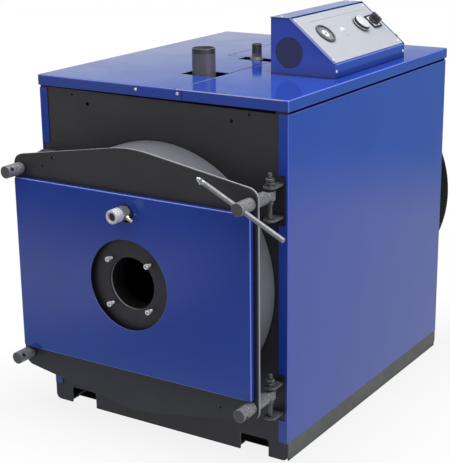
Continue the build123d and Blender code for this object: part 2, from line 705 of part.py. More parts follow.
def hinge_pin(z, has_nuts):
    """Pin through both ears, with a collar that carries the eye, and a washer; some have two nuts above."""
    low = z - EAR_BELOW - EAR_THICKNESS - PIN_BELOW_EAR
    ear_top = z + EAR_ABOVE + EAR_THICKNESS
    collar_top = z - EYE_HEIGHT / 2 - FIT
    washer_top = ear_top + WASHER_THICKNESS
    top = ear_top + PIN_ABOVE_EAR if has_nuts else washer_top + PIN_END
    collar = collar_top - COLLAR_HEIGHT
    pin = turned((0, low), (PIN_RADIUS, low), (PIN_RADIUS, collar), (COLLAR_RADIUS, collar),
                 (COLLAR_RADIUS, collar_top), (PIN_RADIUS, collar_top), (PIN_RADIUS, ear_top),
                 (WASHER_RADIUS, ear_top), (WASHER_RADIUS, washer_top), (PIN_RADIUS, washer_top),
                 (PIN_RADIUS, top - PIN_CHAMFER), (PIN_RADIUS - PIN_CHAMFER, top), (0, top))
    if has_nuts:
        pin += pin_nut(washer_top)
        pin += Rot(0, 0, LOCK_NUT_TURN) * pin_nut(washer_top + PIN_NUT_HEIGHT + PIN_NUT_GAP)
    return (Pos(BOLT_X, PIN_Y, 0) * pin).solid()


def hinge_pins(side):
    """The door hangs on the right pins, which have nuts; the left ones only hold their bolts."""
    return right_and_left([hinge_pin(z, side > 0) for z in BOLT_HEIGHTS], side)


def eye_bolt(z, end_y):
    """Bolt with a cross-bored eye that turns on the hinge pin."""
    half = EYE_HEIGHT / 2
    edge = EYE_RADIUS - EYE_CHAMFER
    side = half - EYE_CHAMFER
    eye = turned((0, -half), (edge, -half), (EYE_RADIUS, -side), (EYE_RADIUS, side), (edge, half), (0, half))
    neck_end = EYE_RADIUS + BOLT_NECK_LENGTH
    shank = turned((0, 0), (BOLT_NECK, 0), (BOLT_NECK, EYE_RADIUS), (BOLT_RADIUS, neck_end),
                   (BOLT_RADIUS, PIN_Y - end_y), (0, PIN_Y - end_y))
    bolt = eye + Rot(90, 0, 0) * shank
    bolt -= Cylinder(PIN_RADIUS + PIN_RUNNING, EYE_HEIGHT + 2)
    return (Pos(BOLT_X, PIN_Y, z) * bolt).solid()


def eye_bolts(side):
    reach = BORE_DEPTH - BOLT_END_GAP if side > 0 else LEFT_BOLT_PAST_PLATE
    return right_and_left([eye_bolt(z, DOOR_FRONT - reach) for z in BOLT_HEIGHTS], side)


def spacer_sleeve(z):
    """Tube behind the door plate that holds the hinge side at its distance, rounded at its far end."""
    tube = rod_y(NUT_RADIUS, DOOR_BACK, DOOR_BACK + SPACER_LENGTH, BOLT_X, z)
    tube = fillet(tube.edges().sort_by(Axis.Y)[-1:], SPACER_ROUNDING)
    return (tube - rod_y(BOLT_RADIUS + FIT, DOOR_BACK - 1, DOOR_BACK + SPACER_LENGTH + 1, BOLT_X, z)).solid()


def spacer_sleeves():
    return Compound([spacer_sleeve(z) for z in BOLT_HEIGHTS])


def cross_rod(radius, left, right, rounding):
    """A bar across a tube nut, sloped down to the right, with chamfered ends."""
    inner = radius - rounding
    bar = turned((0, -left), (inner, -left), (radius, rounding - left), (radius, right - rounding),
                 (inner, right), (0, right))
    y = DOOR_FRONT - NUT_LENGTH + CROSS_HOLE_FROM_END
    return Pos(BOLT_X, y, 0) * Rot(0, 90 + BAR_SLOPE, 0) * bar


def tube_nut(z, bore):
    """Round clamping nut with a blind bore and a cross hole for the bar."""
    edge = NUT_RADIUS - NUT_CHAMFER
    depth = BORE_DEPTH
    nut = turned((bore, 0), (NUT_RADIUS, 0), (NUT_RADIUS, NUT_LENGTH - NUT_CHAMFER), (edge, NUT_LENGTH),
                 (0, NUT_LENGTH), (0, depth), (bore, depth))
    nut = Pos(BOLT_X, DOOR_FRONT, z) * Rot(90, 0, 0) * nut
    reach = NUT_RADIUS + 10
    return (nut - Pos(0, 0, z) * cross_rod(BAR_RADIUS + FIT, reach, reach, 0.1)).solid()


def tube_nuts(side):
    bore = BOLT_RADIUS + FIT if side > 0 else LOOSE_BORE_RADIUS
    return right_and_left([tube_nut(z, bore) for z in BOLT_HEIGHTS], side)


def tommy_bar():
    return Pos(0, 0, DRUM_Z + BOLT_Z) * cross_rod(BAR_RADIUS, BAR_LEFT, BAR_RIGHT, BAR_CHAMFER)


# Control box
def control_profile(offset, drop, rounding):
    """End profile of the control box, drawn in by an offset and with its slope let in by a drop."""
    x0 = CONTROL_X0 + offset
    x1 = CONTROL_X1 - offset
    z0 = CASING_HEIGHT + offset
    z1 = CASING_HEIGHT + CONTROL_HEIGHT - offset
    top_x = CONTROL_X0 + CONTROL_TOP_WIDTH - (offset * (SLOPE - SLOPE_RUN) + drop * SLOPE) / SLOPE_RISE
    lip_z = CASING_HEIGHT + CONTROL_LIP - (offset * (SLOPE - SLOPE_RISE) + drop * SLOPE) / SLOPE_RUN
    face = make_face(Polyline((x0, z0), (x1, z0), (x1, lip_z), (top_x, z1), (x0, z1), close=True))
    if not rounding:
        return face
    return fillet([v for v in face.vertices() if v.Y > z0 + 1], rounding)


def slope_frame(along, up, out):
    """A place on the sloping front: along the box, up the slope and out from it."""
    x = CONTROL_X1 - up * SLOPE_RUN / SLOPE + out * SLOPE_RISE / SLOPE
    z = CASING_HEIGHT + CONTROL_LIP + up * SLOPE_RISE / SLOPE + out * SLOPE_RUN / SLOPE
    turn = math.degrees(math.atan2(SLOPE_RISE, SLOPE_RUN))
    return Pos(x, CONTROL_Y0 + along, z) * Rot(0, turn, 0)


def control_box():
    """Box on the lid: a folded wrapper between two end plates that stand proud of its sloping front."""
    inner0 = CONTROL_Y0 + CONTROL_SHEET
    inner1 = CONTROL_Y1 - CONTROL_SHEET
    ends = upright(control_profile(0, 0, CONTROL_BEND), CONTROL_Y0, CONTROL_Y1)
    ends -= upright(control_profile(-10, 0, 0), inner0, inner1)
    wrapper = upright(control_profile(0, FACE_DROP, CONTROL_BEND), inner0, inner1)
    inside = control_profile(CONTROL_SHEET, FACE_DROP, CONTROL_BEND - CONTROL_SHEET)
    wrapper -= upright(inside, inner0 - 1, inner1 + 1)
    box = ends + wrapper
    box -= rod_y(CAP_RADIUS, CONTROL_Y0 - 1, inner0 + 1, CAP_X, CAP_Z)
    for along in (KNOB_ALONG, SELECTOR_ALONG):
        box -= slope_frame(along, INSTRUMENT_UP, 0) * Cylinder(SHAFT_RADIUS + FIT, 20)
    return box


def blanking_cap():
    """Round cap that closes the cable hole in the front end of the control box."""
    seat = CONTROL_Y0 + CONTROL_SHEET
    cap = rod_y(CAP_RADIUS - FIT, CONTROL_Y0 + CAP_RECESS, seat, CAP_X, CAP_Z)
    return cap + rod_y(CAP_RADIUS + CAP_LIP, seat, seat + CAP_THICKNESS, CAP_X, CAP_Z)


def cable_gland():
    """Cable gland on the far end of the control box."""
    place = slope_frame(CONTROL_LENGTH, GLAND_UP, -GLAND_DROP).position
    collar = GLAND_RADIUS + GLAND_LIP
    shoulder = GLAND_LENGTH - GLAND_DOME
    body = turned((0, 0), (collar, 0), (collar, GLAND_COLLAR), (GLAND_RADIUS, GLAND_COLLAR),
                  (GLAND_RADIUS, shoulder), (GLAND_RADIUS - GLAND_DOME, GLAND_LENGTH), (0, GLAND_LENGTH))
    return Pos(place.X, CONTROL_Y1, place.Z) * Rot(-90, 0, 0) * body


def control_face():
    """Silver instrument plate, let in between the two end plates."""
    width = SLOPE - 2 * FACE_MARGIN
    face = slope_frame(CONTROL_LENGTH / 2, SLOPE / 2, -FACE_DROP) * extrude(
        Rectangle(width, CONTROL_LENGTH - 2 * FACE_MARGIN), FACE_THICKNESS)
    for along in (KNOB_ALONG, SELECTOR_ALONG):
        face -= slope_frame(along, INSTRUMENT_UP, 0) * Cylinder(SHAFT_RADIUS + FIT, 20)
    return face


def gauge():
    """Round thermometer with a raised bezel round its dial."""
    rim = GAUGE_RADIUS - 2
    dial = GAUGE_DIAL_RADIUS
    body = turned((0, 0), (GAUGE_RADIUS, 0), (GAUGE_RADIUS, GAUGE_DEPTH - 2), (rim, GAUGE_DEPTH),
                  (dial + 1, GAUGE_DEPTH), (dial, GAUGE_DIAL_DEPTH), (0, GAUGE_DIAL_DEPTH))
    return slope_frame(GAUGE_FROM_FRONT, INSTRUMENT_UP, FACE_TOP) * body


def signal_lamp():
    """Small domed lens in a collar."""
    collar = LAMP_RADIUS + 1.5
    body = turned((0, 0), (collar, 0), (collar, 1), (LAMP_RADIUS, 1.5), (LAMP_RADIUS - 0.8, LAMP_DEPTH - 1),
                  (LAMP_RADIUS / 2, LAMP_DEPTH), (0, LAMP_DEPTH))
    return slope_frame(LAMP_FROM_FRONT, INSTRUMENT_UP, FACE_TOP) * body


def shaft(seat):
    """A knob's shaft, from inside the box to just inside the knob."""
    return turned((0, -SHAFT_REACH), (SHAFT_RADIUS, -SHAFT_REACH), (SHAFT_RADIUS, seat + 1), (0, seat + 1))


def thermostat_knob():
    """Round knob with a skirt and a raised grip."""
    seat = FACE_TOP + FIT
    top = seat + KNOB_DEPTH
    skirt = seat + KNOB_SKIRT
    grip = KNOB_GRIP_RADIUS
    knob = turned((0, seat), (KNOB_RADIUS, seat), (KNOB_RADIUS, skirt - 1), (KNOB_RADIUS - 1, skirt),
                  (grip, skirt), (grip - 1, top - 1), (grip - 2, top), (0, top))
    return slope_frame(KNOB_ALONG, INSTRUMENT_UP, 0) * (knob + shaft(seat))


def selector_plate():
    shape = RectangleRounded(SELECTOR_PLATE, SELECTOR_PLATE, SELECTOR_PLATE_CORNER)
    shape -= Circle(SHAFT_RADIUS + FIT)
    return slope_frame(SELECTOR_ALONG, INSTRUMENT_UP, FACE_TOP) * extrude(shape, SELECTOR_PLATE_DEPTH)


def selector_knob():
    """Rotary switch handle: a round base with a rounded grip bar."""
    seat = FACE_TOP + SELECTOR_PLATE_DEPTH + FIT
    base = Pos(0, 0, seat) * extrude(Circle(SELECTOR_RADIUS), SELECTOR_BASE)
    grip = Pos(0, 0, seat) * extrude(Rectangle(2 * SELECTOR_RADIUS, SELECTOR_GRIP_WIDTH), SELECTOR_DEPTH)
    corners = grip.faces().sort_by(Axis.Z)[-1].edges() + grip.edges().filter_by(Axis.Z)
    grip = fillet(corners, SELECTOR_ROUNDING)
    return slope_frame(SELECTOR_ALONG, INSTRUMENT_UP, 0) * (base + grip + shaft(seat))


PARTS = {
    "front_plate": front_plate(),
    "rear_plate": rear_plate(),
    "base_rail_left": side_rail(-1),
    "base_rail_right": side_rail(1),
    "side_panel_left": side_panel(-1),
    "side_panel_right": side_panel(1),
    "top_cover_left": top_cover_left(),
    "top_cover_center": top_cover_center(),
    "top_cover_right": top_cover_right(),
    "lid_strap": lid_strap(),
    "drum_shell": drum_shell(),
    "front_tube_plate": tube_plate(TUBE_PLATE_FRONT, True),
    "rear_tube_plate": tube_plate(REAR_TUBE_PLATE_FRONT, False),
    "furnace_tube": furnace_tube(),
    "smoke_tubes": smoke_tubes(),
    "rear_smokebox": rear_smokebox(),
    "flue_outlet": flue_outlet(),
    "flow_pipe": flow_pipe(),
    "return_pipe": return_pipe(),
    "safety_pipe": safety_pipe(),
    "control_box": control_box(),
    "blanking_cap": blanking_cap(),
    "cable_gland": cable_gland(),
    "control_face": control_face(),
    "gauge": gauge(),
    "signal_lamp": signal_lamp(),
    "thermostat_knob": thermostat_knob(),
    "selector_plate": selector_plate(),
    "selector_knob": selector_knob(),
    "hinge_ears_right": hinge_ears(1),
    "hinge_ears_left": hinge_ears(-1),
    "hinge_pins_right": hinge_pins(1),
    "hinge_pins_left": hinge_pins(-1),
    "eye_bolts_right": eye_bolts(1),
    "eye_bolts_left": eye_bolts(-1),
    "spacer_sleeves": spacer_sleeves(),
    "tube_nuts_right": tube_nuts(1),
    "tube_nuts_left": tube_nuts(-1),
    "tommy_bar": tommy_bar(),
    "door_plate": door_plate(),
    "door_gasket": door_gasket(),
    "door_lining": door_lining(),
    "burner_sleeve": burner_sleeve(),
    "door_cover": door_cover(),
    "sight_tube": sight_tube(),
    "sight_glass": sight_glass(),
    "sight_nipple": sight_nipple(),
}

os.makedirs("parts", exist_ok=True)
for name, shape in PARTS.items():
    export_step(shape, f"parts/{name}.step")
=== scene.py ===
import json
import math

import bmesh
import bpy
from mathutils import Matrix, Vector

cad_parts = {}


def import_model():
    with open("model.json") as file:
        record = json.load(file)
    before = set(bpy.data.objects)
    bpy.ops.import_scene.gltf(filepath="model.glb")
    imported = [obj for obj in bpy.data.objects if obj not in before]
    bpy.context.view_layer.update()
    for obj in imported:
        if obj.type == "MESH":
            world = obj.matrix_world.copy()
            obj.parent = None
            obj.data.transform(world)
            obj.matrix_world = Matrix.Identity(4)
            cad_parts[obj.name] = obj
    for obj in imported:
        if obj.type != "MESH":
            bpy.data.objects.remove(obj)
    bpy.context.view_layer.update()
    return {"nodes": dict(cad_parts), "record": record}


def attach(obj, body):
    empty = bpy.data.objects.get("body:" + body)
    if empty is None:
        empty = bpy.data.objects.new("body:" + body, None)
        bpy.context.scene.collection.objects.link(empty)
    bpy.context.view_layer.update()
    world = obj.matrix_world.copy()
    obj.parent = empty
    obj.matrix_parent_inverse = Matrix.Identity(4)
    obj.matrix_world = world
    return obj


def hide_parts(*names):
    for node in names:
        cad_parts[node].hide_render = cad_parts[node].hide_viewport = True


# Looks of a hot-water boiler with a swinging burner door. Metres, in the frame of the CAD model:
# X to the right, Y to the back, Z up, the origin on the floor at the front plate's foot.

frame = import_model()
NODES = frame["nodes"]

# Camera, solved from the casing's corners in the photograph
CAMERA_PLACE = Vector((1.7600, -2.4459, 1.4449))
CAMERA_AZIMUTH = math.radians(32.857)
CAMERA_ELEVATION = math.radians(16.889)
CAMERA_ROLL = math.radians(-0.738)
CAMERA_LENS = 97.18
SENSOR = 36.0

# Places on the part that the added pieces sit on
FRONT_Y = -0.022
LID_Z = 0.905
LID_FRONT_Y = FRONT_Y - 0.002
LID_BACK_Y = 0.899
LID_FLANGE_Z = 0.878
SEAM_X = 0.058
LEFT_SEAM_X = -0.105
STRAP_FRONT_Y = LID_FRONT_Y - 0.0015
STRAP_SCREW_Z = 0.8935
REAR_FOLD_X = 0.357
REAR_FOLD_Y = 0.878
FLOW_Y = 0.190
SAFETY_Y = 0.450
RETURN_Y = 0.718
DRUM_Z = 0.4375
DOOR_FRONT_Y = -0.144
DOOR_RIM_Y = (-0.1395, -0.1385)
BURNER_BOLT_RADIUS = 0.0825
SIGHT_Z = 0.624
HINGE_X = 0.341
HINGE_Y = -0.056
HINGE_LEVELS = (0.188, 0.687)
BAR_Y = -0.188
BAR_SLOPE = math.radians(26.5)
SMOOTH_ANGLE = math.radians(32)


def srgb(r, g, b):
    """A colour as seen on screen, turned into the linear values of a shader."""
    def one(c):
        return c / 12.92 if c <= 0.04045 else ((c + 0.055) / 1.055) ** 2.4
    return one(r), one(g), one(b), 1.0


# Tones of painted shade in inner corners and in narrow joints, and of rubbed metal with a painted highlight
CORNER_SHADE_BLUE = srgb(0.05, 0.08, 0.30)
JOINT_SHADE_BLUE = srgb(0.02, 0.025, 0.09)
CORNER_SHADE_BLACK = srgb(0.03, 0.03, 0.035)
JOINT_SHADE_BLACK = srgb(0.015, 0.015, 0.02)
JOINT_SHADE_GREY = srgb(0.04, 0.04, 0.045)
RUBBED_METAL_AND_HIGHLIGHT = srgb(0.66, 0.66, 0.68)
WHITE = (1, 1, 1, 1)


# Materials
class Nodes:
    """A short way to write a material's node tree."""

    def __init__(self, name):
        self.material = bpy.data.materials.new(name)
        self.material.use_nodes = True
        self.tree = self.material.node_tree
        self.tree.nodes.clear()
        self.output = self.tree.nodes.new("ShaderNodeOutputMaterial")
        self.shader = self.tree.nodes.new("ShaderNodeBsdfPrincipled")
        self.tree.links.new(self.shader.outputs[0], self.output.inputs[0])
        coordinates = self.tree.nodes.new("ShaderNodeTexCoord")
        self.place = coordinates.outputs["Object"]
        self.facing = coordinates.outputs["Normal"]
        self.height = None
        self.edge = None

    def add(self, kind, **settings):
        node = self.tree.nodes.new(kind)
        for key, value in settings.items():
            setattr(node, key, value)
        return node

    def link(self, source, target):
        self.tree.links.new(source, target)

    def feed(self, value, socket):
        """Links another node's output to a socket, or sets a constant on it."""
        if hasattr(value, "is_linked"):
            self.link(value, socket)
        else:
            socket.default_value = value

    def calculate(self, operation, *values):
        """One step of arithmetic; each value may be a number or another node's output."""
        node = self.add("ShaderNodeMath", operation=operation)
        for socket, value in zip(node.inputs, values):
            self.feed(value, socket)
        return node.outputs[0]

    def apart(self, vector):
        """The X, Y and Z of a vector."""
        node = self.add("ShaderNodeSeparateXYZ")
        self.link(vector, node.inputs[0])
        return node.outputs

    def noise(self, scale, detail=3.0, roughness=0.5, stretch=(1, 1, 1)):
        """Soft random values from 0 to 1 across the surface; scale is in waves a metre."""
        mapping = self.add("ShaderNodeMapping")
        mapping.inputs["Scale"].default_value = stretch
        self.link(self.place, mapping.inputs["Vector"])
        noise = self.add("ShaderNodeTexNoise")
        noise.inputs["Scale"].default_value = scale
        noise.inputs["Detail"].default_value = detail
        noise.inputs["Roughness"].default_value = roughness
        self.link(mapping.outputs[0], noise.inputs["Vector"])
        return noise.outputs["Fac"]

    def spread(self, source, low, high, source_low=0.3, source_high=0.7):
        """Random values stretched from one range to another."""
        node = self.add("ShaderNodeMapRange")
        node.inputs["From Min"].default_value = source_low
        node.inputs["From Max"].default_value = source_high
        node.inputs["To Min"].default_value = low
        node.inputs["To Max"].default_value = high
        self.link(source, node.inputs["Value"])
        return node.outputs["Result"]

    def mix(self, factor, a, b):
        """Two colours mixed by a factor; either may be a colour or another node's output."""
        node = self.add("ShaderNodeMix", data_type="RGBA")
        for name, value in (("A", a), ("B", b)):
            socket = [s for s in node.inputs if s.name == name and s.type == "RGBA"][0]
            self.feed(value, socket)
        self.link(factor, node.inputs["Factor"])
        return [s for s in node.outputs if s.type == "RGBA"][0]

    def bump(self, source, depth):
        """Adds relief of that depth in metres."""
        node = self.add("ShaderNodeBump")
        node.inputs["Distance"].default_value = depth
        node.inputs["Strength"].default_value = 1.0
        self.link(source, node.inputs["Height"])
        if self.height is not None:
            self.link(self.height, node.inputs["Normal"])
        self.height = node.outputs["Normal"]

    def soften_edges(self, radius):
        """Rounds sharp edges in the shading, and keeps a mask of those that don't face down, for painted
        highlights.
        """
        bevel = self.add("ShaderNodeBevel", samples=6)
        bevel.inputs["Radius"].default_value = radius
        self.height = bevel.outputs["Normal"]
        flat = self.add("ShaderNodeNewGeometry").outputs["Normal"]
        dot = self.add("ShaderNodeVectorMath", operation="DOT_PRODUCT")
        self.link(self.height, dot.inputs[0])
        self.link(flat, dot.inputs[1])
        upward = self.spread(self.apart(self.height)[2], 0, 1, -0.5, -0.1)
        self.edge = self.calculate("MULTIPLY", self.spread(dot.outputs["Value"], 1, 0, 0.80, 0.985), upward)

    def bends(self):
        """A mask of the rounded bends between faces square to the axes."""
        size = self.add("ShaderNodeVectorMath", operation="ABSOLUTE")
        self.link(self.facing, size.inputs[0])
        x, y, z = self.apart(size.outputs[0])
        largest = self.calculate("MAXIMUM", self.calculate("MAXIMUM", x, y), z)
        return self.spread(largest, 1, 0, 0.88, 0.995)

    def painted_crevice_shade(self, reach, strength=1.0, open_side=0.85, closed_side=0.45):
        """A mask of narrow gaps and inner corners from ambient occlusion, for painted shade where light
        reaches less.
        """
        hidden = self.add("ShaderNodeAmbientOcclusion", samples=8)
        hidden.inputs["Distance"].default_value = reach
        return self.spread(hidden.outputs["AO"], strength, 0, closed_side, open_side)

    def finish(self, color, roughness, metallic=0.0, **more):
        for name, value in (("Base Color", color), ("Roughness", roughness), ("Metallic", metallic)):
            self.feed(value, self.shader.inputs[name])
        for name, value in more.items():
            self.shader.inputs[name.replace("_", " ")].default_value = value
        if self.height is not None:
            self.link(self.height, self.shader.inputs["Normal"])
        return self.material


def paint(name, color, shade, roughness, edge=None, bend=0.0009, level=0.5):
    """Sprayed enamel: fine orange peel over slightly wavy sheet, with painted highlights on its bends and
    painted shade in its corners and joints.
    """
    m = Nodes(name)
    m.soften_edges(bend)
    tone = m.mix(m.spread(m.noise(5, 4), 0, 1), srgb(*color), srgb(*shade))
    # Painted highlights: the edge colour on the rounded bends and on edges that don't face down
    if edge:
        tone = m.mix(m.bends(), tone, srgb(*edge))
        tone = m.mix(m.edge, tone, srgb(*edge))
    # Painted shade in inner corners and in narrow joints
    tone = m.mix(m.painted_crevice_shade(0.05, 0.6, 0.9, 0.3), tone, CORNER_SHADE_BLUE)
    tone = m.mix(m.painted_crevice_shade(0.006), tone, JOINT_SHADE_BLUE)
    m.bump(m.noise(3.2, 1), 0.0007)
    m.bump(m.noise(420, 2), 0.00002)
    gloss = m.spread(m.noise(14, 4), roughness * 0.8, roughness * 1.25)
    return m.finish(tone, gloss, Specular_IOR_Level=level)


def plain_metal(name, color, shade, roughness, metallic=1.0, grain=(1, 1, 1), depth=0.00003):
    """Turned, rolled or plated metal with a directional grain."""
    m = Nodes(name)
    m.soften_edges(0.0005)
    lines = m.noise(300, 4, 0.6, grain)
    tone = m.mix(m.spread(lines, 0, 1), srgb(*color), srgb(*shade))
    m.bump(lines, depth)
    return m.finish(tone, m.spread(m.noise(60, 3), roughness * 0.8, roughness * 1.3), metallic)


def matt_coat(name, color, shade, roughness, grit=0.00012, scale=700, blotch=9, edge=None, level=0.5,
              rim=None):
    """A matt coat or plastic: gritty, with faint random clouds of a second tone, and painted highlights on
    its edges and painted shade in its corners and joints if edge is given.
    """
    m = Nodes(name)
    m.soften_edges(0.0010)
    tone = m.mix(m.spread(m.noise(blotch, 5, 0.6), 0, 1), srgb(*color), srgb(*shade))
    # Painted highlights on edges that don't face down, and painted shade in corners and joints
    if edge:
        tone = m.mix(m.edge, tone, srgb(*edge))
        tone = m.mix(m.painted_crevice_shade(0.12, 0.45, 0.9, 0.3), tone, CORNER_SHADE_BLACK)
        tone = m.mix(m.painted_crevice_shade(0.010), tone, JOINT_SHADE_BLACK)
    if rim:
        # the cut edge of a plate behind the given depth, rubbed bare and lighter, with a painted highlight
        sideways = m.spread(m.apart(m.facing)[1], 0, 1, -0.6, -0.3)
        behind = m.spread(m.apart(m.place)[1], 0, 1, *rim)
        tone = m.mix(m.calculate("MULTIPLY", sideways, behind), tone, RUBBED_METAL_AND_HIGHLIGHT)
    m.bump(m.noise(scale, 2), grit)
    gloss = m.spread(m.noise(40, 4), roughness * 0.88, roughness * 1.12)
    return m.finish(tone, gloss, Specular_IOR_Level=level)


def hammered(name, color, shade, roughness, end=None):
    """Hammered enamel: a skin of small shallow dimples, painted highlights on edges that don't face down,
    painted shade in joints, and a darker tone on faces turned to the front if end is given.
    """
    m = Nodes(name)
    m.soften_edges(0.0008)
    cells = m.add("ShaderNodeTexVoronoi", feature="SMOOTH_F1")
    cells.inputs["Scale"].default_value = 300
    m.link(m.place, cells.inputs["Vector"])
    pits = m.spread(cells.outputs["Distance"], 0, 1, 0.05, 0.62)
    tone = m.mix(pits, srgb(*color), srgb(*shade))
    # Painted highlight on edges that don't face down
    tone = m.mix(m.edge, tone, RUBBED_METAL_AND_HIGHLIGHT)
    if end:
        tone = m.mix(m.spread(m.apart(m.facing)[1], 1, 0, -0.99, -0.90), tone, srgb(*end))
    # Painted shade in narrow joints
    tone = m.mix(m.painted_crevice_shade(0.005), tone, JOINT_SHADE_GREY)
    m.bump(pits, 0.0005)
    return m.finish(tone, m.spread(m.noise(50, 3), roughness * 0.85, roughness * 1.2), 0.2)


def line_tone(name, color, roughness, level):
    """A faintly mottled tone for the painted highlight and shade lines along joints and bends, which are
    narrower than a softened edge.
    """
    m = Nodes(name)
    tone = m.mix(m.noise(40, 3), srgb(*color), srgb(*[0.93 * c for c in color]))
    return m.finish(tone, roughness, Specular_IOR_Level=level)


def woven(name, color, shade):
    """Plaited ceramic rope: crossing diagonal strands."""
    m = Nodes(name)
    strands = []
    for turn in (0.8, -0.8):
        mapping = m.add("ShaderNodeMapping")
        mapping.inputs["Rotation"].default_value = (0, turn, 0)
        m.link(m.place, mapping.inputs["Vector"])
        wave = m.add("ShaderNodeTexWave", bands_direction="X")
        wave.inputs["Scale"].default_value = 70
        wave.inputs["Distortion"].default_value = 0.6
        m.link(mapping.outputs[0], wave.inputs["Vector"])
        strands.append(wave.outputs["Fac"])
    plait = m.calculate("MAXIMUM", *strands)
    tone = m.mix(plait, srgb(*shade), srgb(*color))
    m.bump(plait, 0.0012)
    m.bump(m.noise(900, 2), 0.0003)
    return m.finish(tone, 0.95)


# The last colour given to each enamel here is a painted highlight on its bends and edges
BLUE = paint("blue_enamel", (0.125, 0.265, 0.67), (0.14, 0.28, 0.69), 0.12, (0.36, 0.44, 0.84))
LID = paint("blue_lid", (0.125, 0.265, 0.65), (0.14, 0.28, 0.67), 0.10, (0.46, 0.53, 0.84), 0.0030, 0.64)
LID_RIGHT = paint("blue_lid_right", (0.125, 0.265, 0.67), (0.14, 0.28, 0.69), 0.10, (0.42, 0.49, 0.86),
                  0.0016)
BOX_LID = paint("blue_box_lid", (0.125, 0.265, 0.62), (0.14, 0.28, 0.64), 0.14, (0.36, 0.40, 0.68),
                level=0.32)
COVER = paint("blue_cover", (0.125, 0.265, 0.67), (0.14, 0.28, 0.69), 0.12, (0.58, 0.63, 0.93), 0.0016)
# Painted highlight and painted shade, laid as thin strips along seams, bends and gaps
SEAM_HIGHLIGHT = line_tone("painted_seam_highlight", (0.58, 0.64, 0.91), 0.35, 0.5)
BEND_HIGHLIGHT = line_tone("painted_bend_highlight", (0.84, 0.86, 0.98), 0.35, 0.5)
GAP_SHADE = line_tone("painted_gap_shade", (0.03, 0.03, 0.035), 0.9, 0.1)
# The navy tone of the knock-out cap is painted shade of the box's inside seen through the hole
NAVY_HOLE_SHADE = paint("navy_cap_painted_shade", (0.11, 0.125, 0.30), (0.12, 0.135, 0.32), 0.35)
# The edge colours of the plates and the rail are painted highlights; the door plate's rim is rubbed metal
# with a painted highlight
BLACK = matt_coat("charcoal_paint", (0.19, 0.185, 0.215), (0.215, 0.21, 0.24), 0.46, edge=(0.40, 0.40, 0.43),
                  level=0.40)
DOOR_BLACK = matt_coat("charcoal_door", (0.185, 0.18, 0.21), (0.21, 0.205, 0.235), 0.46,
                       edge=(0.30, 0.30, 0.33), level=0.40, rim=DOOR_RIM_Y)
REAR_BLACK = matt_coat("smokebox_paint", (0.085, 0.085, 0.09), (0.105, 0.105, 0.11), 0.7, level=0.06)
GREY = matt_coat("vessel_grey", (0.40, 0.40, 0.43), (0.44, 0.44, 0.47), 0.48)
PIPE = matt_coat("pipe_grey", (0.34, 0.33, 0.35), (0.39, 0.38, 0.40), 0.36)
THREAD = matt_coat("dark_thread", (0.20, 0.20, 0.21), (0.24, 0.24, 0.25), 0.32)
RAIL = matt_coat("rail_grey", (0.34, 0.35, 0.34), (0.41, 0.42, 0.41), 0.55, 0.0002, edge=(0.75, 0.75, 0.73))
HAMMERED = hammered("hammered_grey", (0.62, 0.62, 0.635), (0.40, 0.40, 0.42), 0.38)
NUTS = hammered("hammered_nuts", (0.66, 0.66, 0.675), (0.42, 0.42, 0.44), 0.38, (0.34, 0.34, 0.36))
DARK_HAMMERED = hammered("hammered_dark", (0.46, 0.46, 0.47), (0.30, 0.30, 0.31), 0.42)
ZINC = plain_metal("bright_zinc", (0.86, 0.86, 0.88), (0.72, 0.72, 0.75), 0.26)
WHITE_ZINC = plain_metal("white_zinc", (0.96, 0.96, 0.97), (0.90, 0.90, 0.92), 0.34, 0.4)
SATIN_ZINC = plain_metal("satin_zinc", (0.88, 0.88, 0.91), (0.80, 0.80, 0.83), 0.40, 0.25)
STEEL = plain_metal("bare_steel", (0.42, 0.41, 0.42), (0.30, 0.29, 0.30), 0.5, 0.9)
BAR = plain_metal("rubbed_steel", (0.62, 0.62, 0.64), (0.48, 0.48, 0.49), 0.46, 0.5)
SOOT = matt_coat("sooted_steel", (0.075, 0.072, 0.07), (0.10, 0.095, 0.09), 0.75, 0.0004, 300, 12, level=0.3)
SILVER = plain_metal("silver_face", (0.76, 0.77, 0.80), (0.73, 0.74, 0.77), 0.38, 0.2, (1, 30, 1), 0.00001)
CAP = plain_metal("silver_cap", (0.90, 0.90, 0.93), (0.88, 0.88, 0.91), 0.3, 0.2, (1, 30, 1), 0.00001)
KNOB = matt_coat("knob_plastic", (0.23, 0.23, 0.24), (0.27, 0.27, 0.28), 0.36, 0.00006, 1500)
PLASTIC = matt_coat("black_plastic", (0.125, 0.125, 0.13), (0.15, 0.15, 0.155), 0.38, 0.00006, 1500)
BEZEL = matt_coat("grey_bezel", (0.34, 0.34, 0.36), (0.40, 0.40, 0.42), 0.35, 0.00004, 1500)
INK = matt_coat("printed_ink", (0.33, 0.34, 0.36), (0.38, 0.39, 0.41), 0.5, 0.00002, 1500)
DIAL = matt_coat("dial_enamel", (0.52, 0.53, 0.55), (0.56, 0.57, 0.59), 0.4, 0.00002, 1500)
PALE = matt_coat("pale_plastic", (0.90, 0.91, 0.93), (0.86, 0.87, 0.90), 0.35, 0.00004, 1500)
BRASS = plain_metal("brass", (0.93, 0.90, 0.80), (0.83, 0.77, 0.62), 0.25, 0.7)
REFRACTORY = matt_coat("refractory", (0.72, 0.68, 0.60), (0.60, 0.56, 0.49), 0.9, 0.0012, 180, 14)
ROPE = woven("ceramic_rope", (0.84, 0.82, 0.77), (0.60, 0.58, 0.52))
GLASS = plain_metal("dark_glass", (0.20, 0.20, 0.20), (0.16, 0.165, 0.165), 0.30, 0.0)

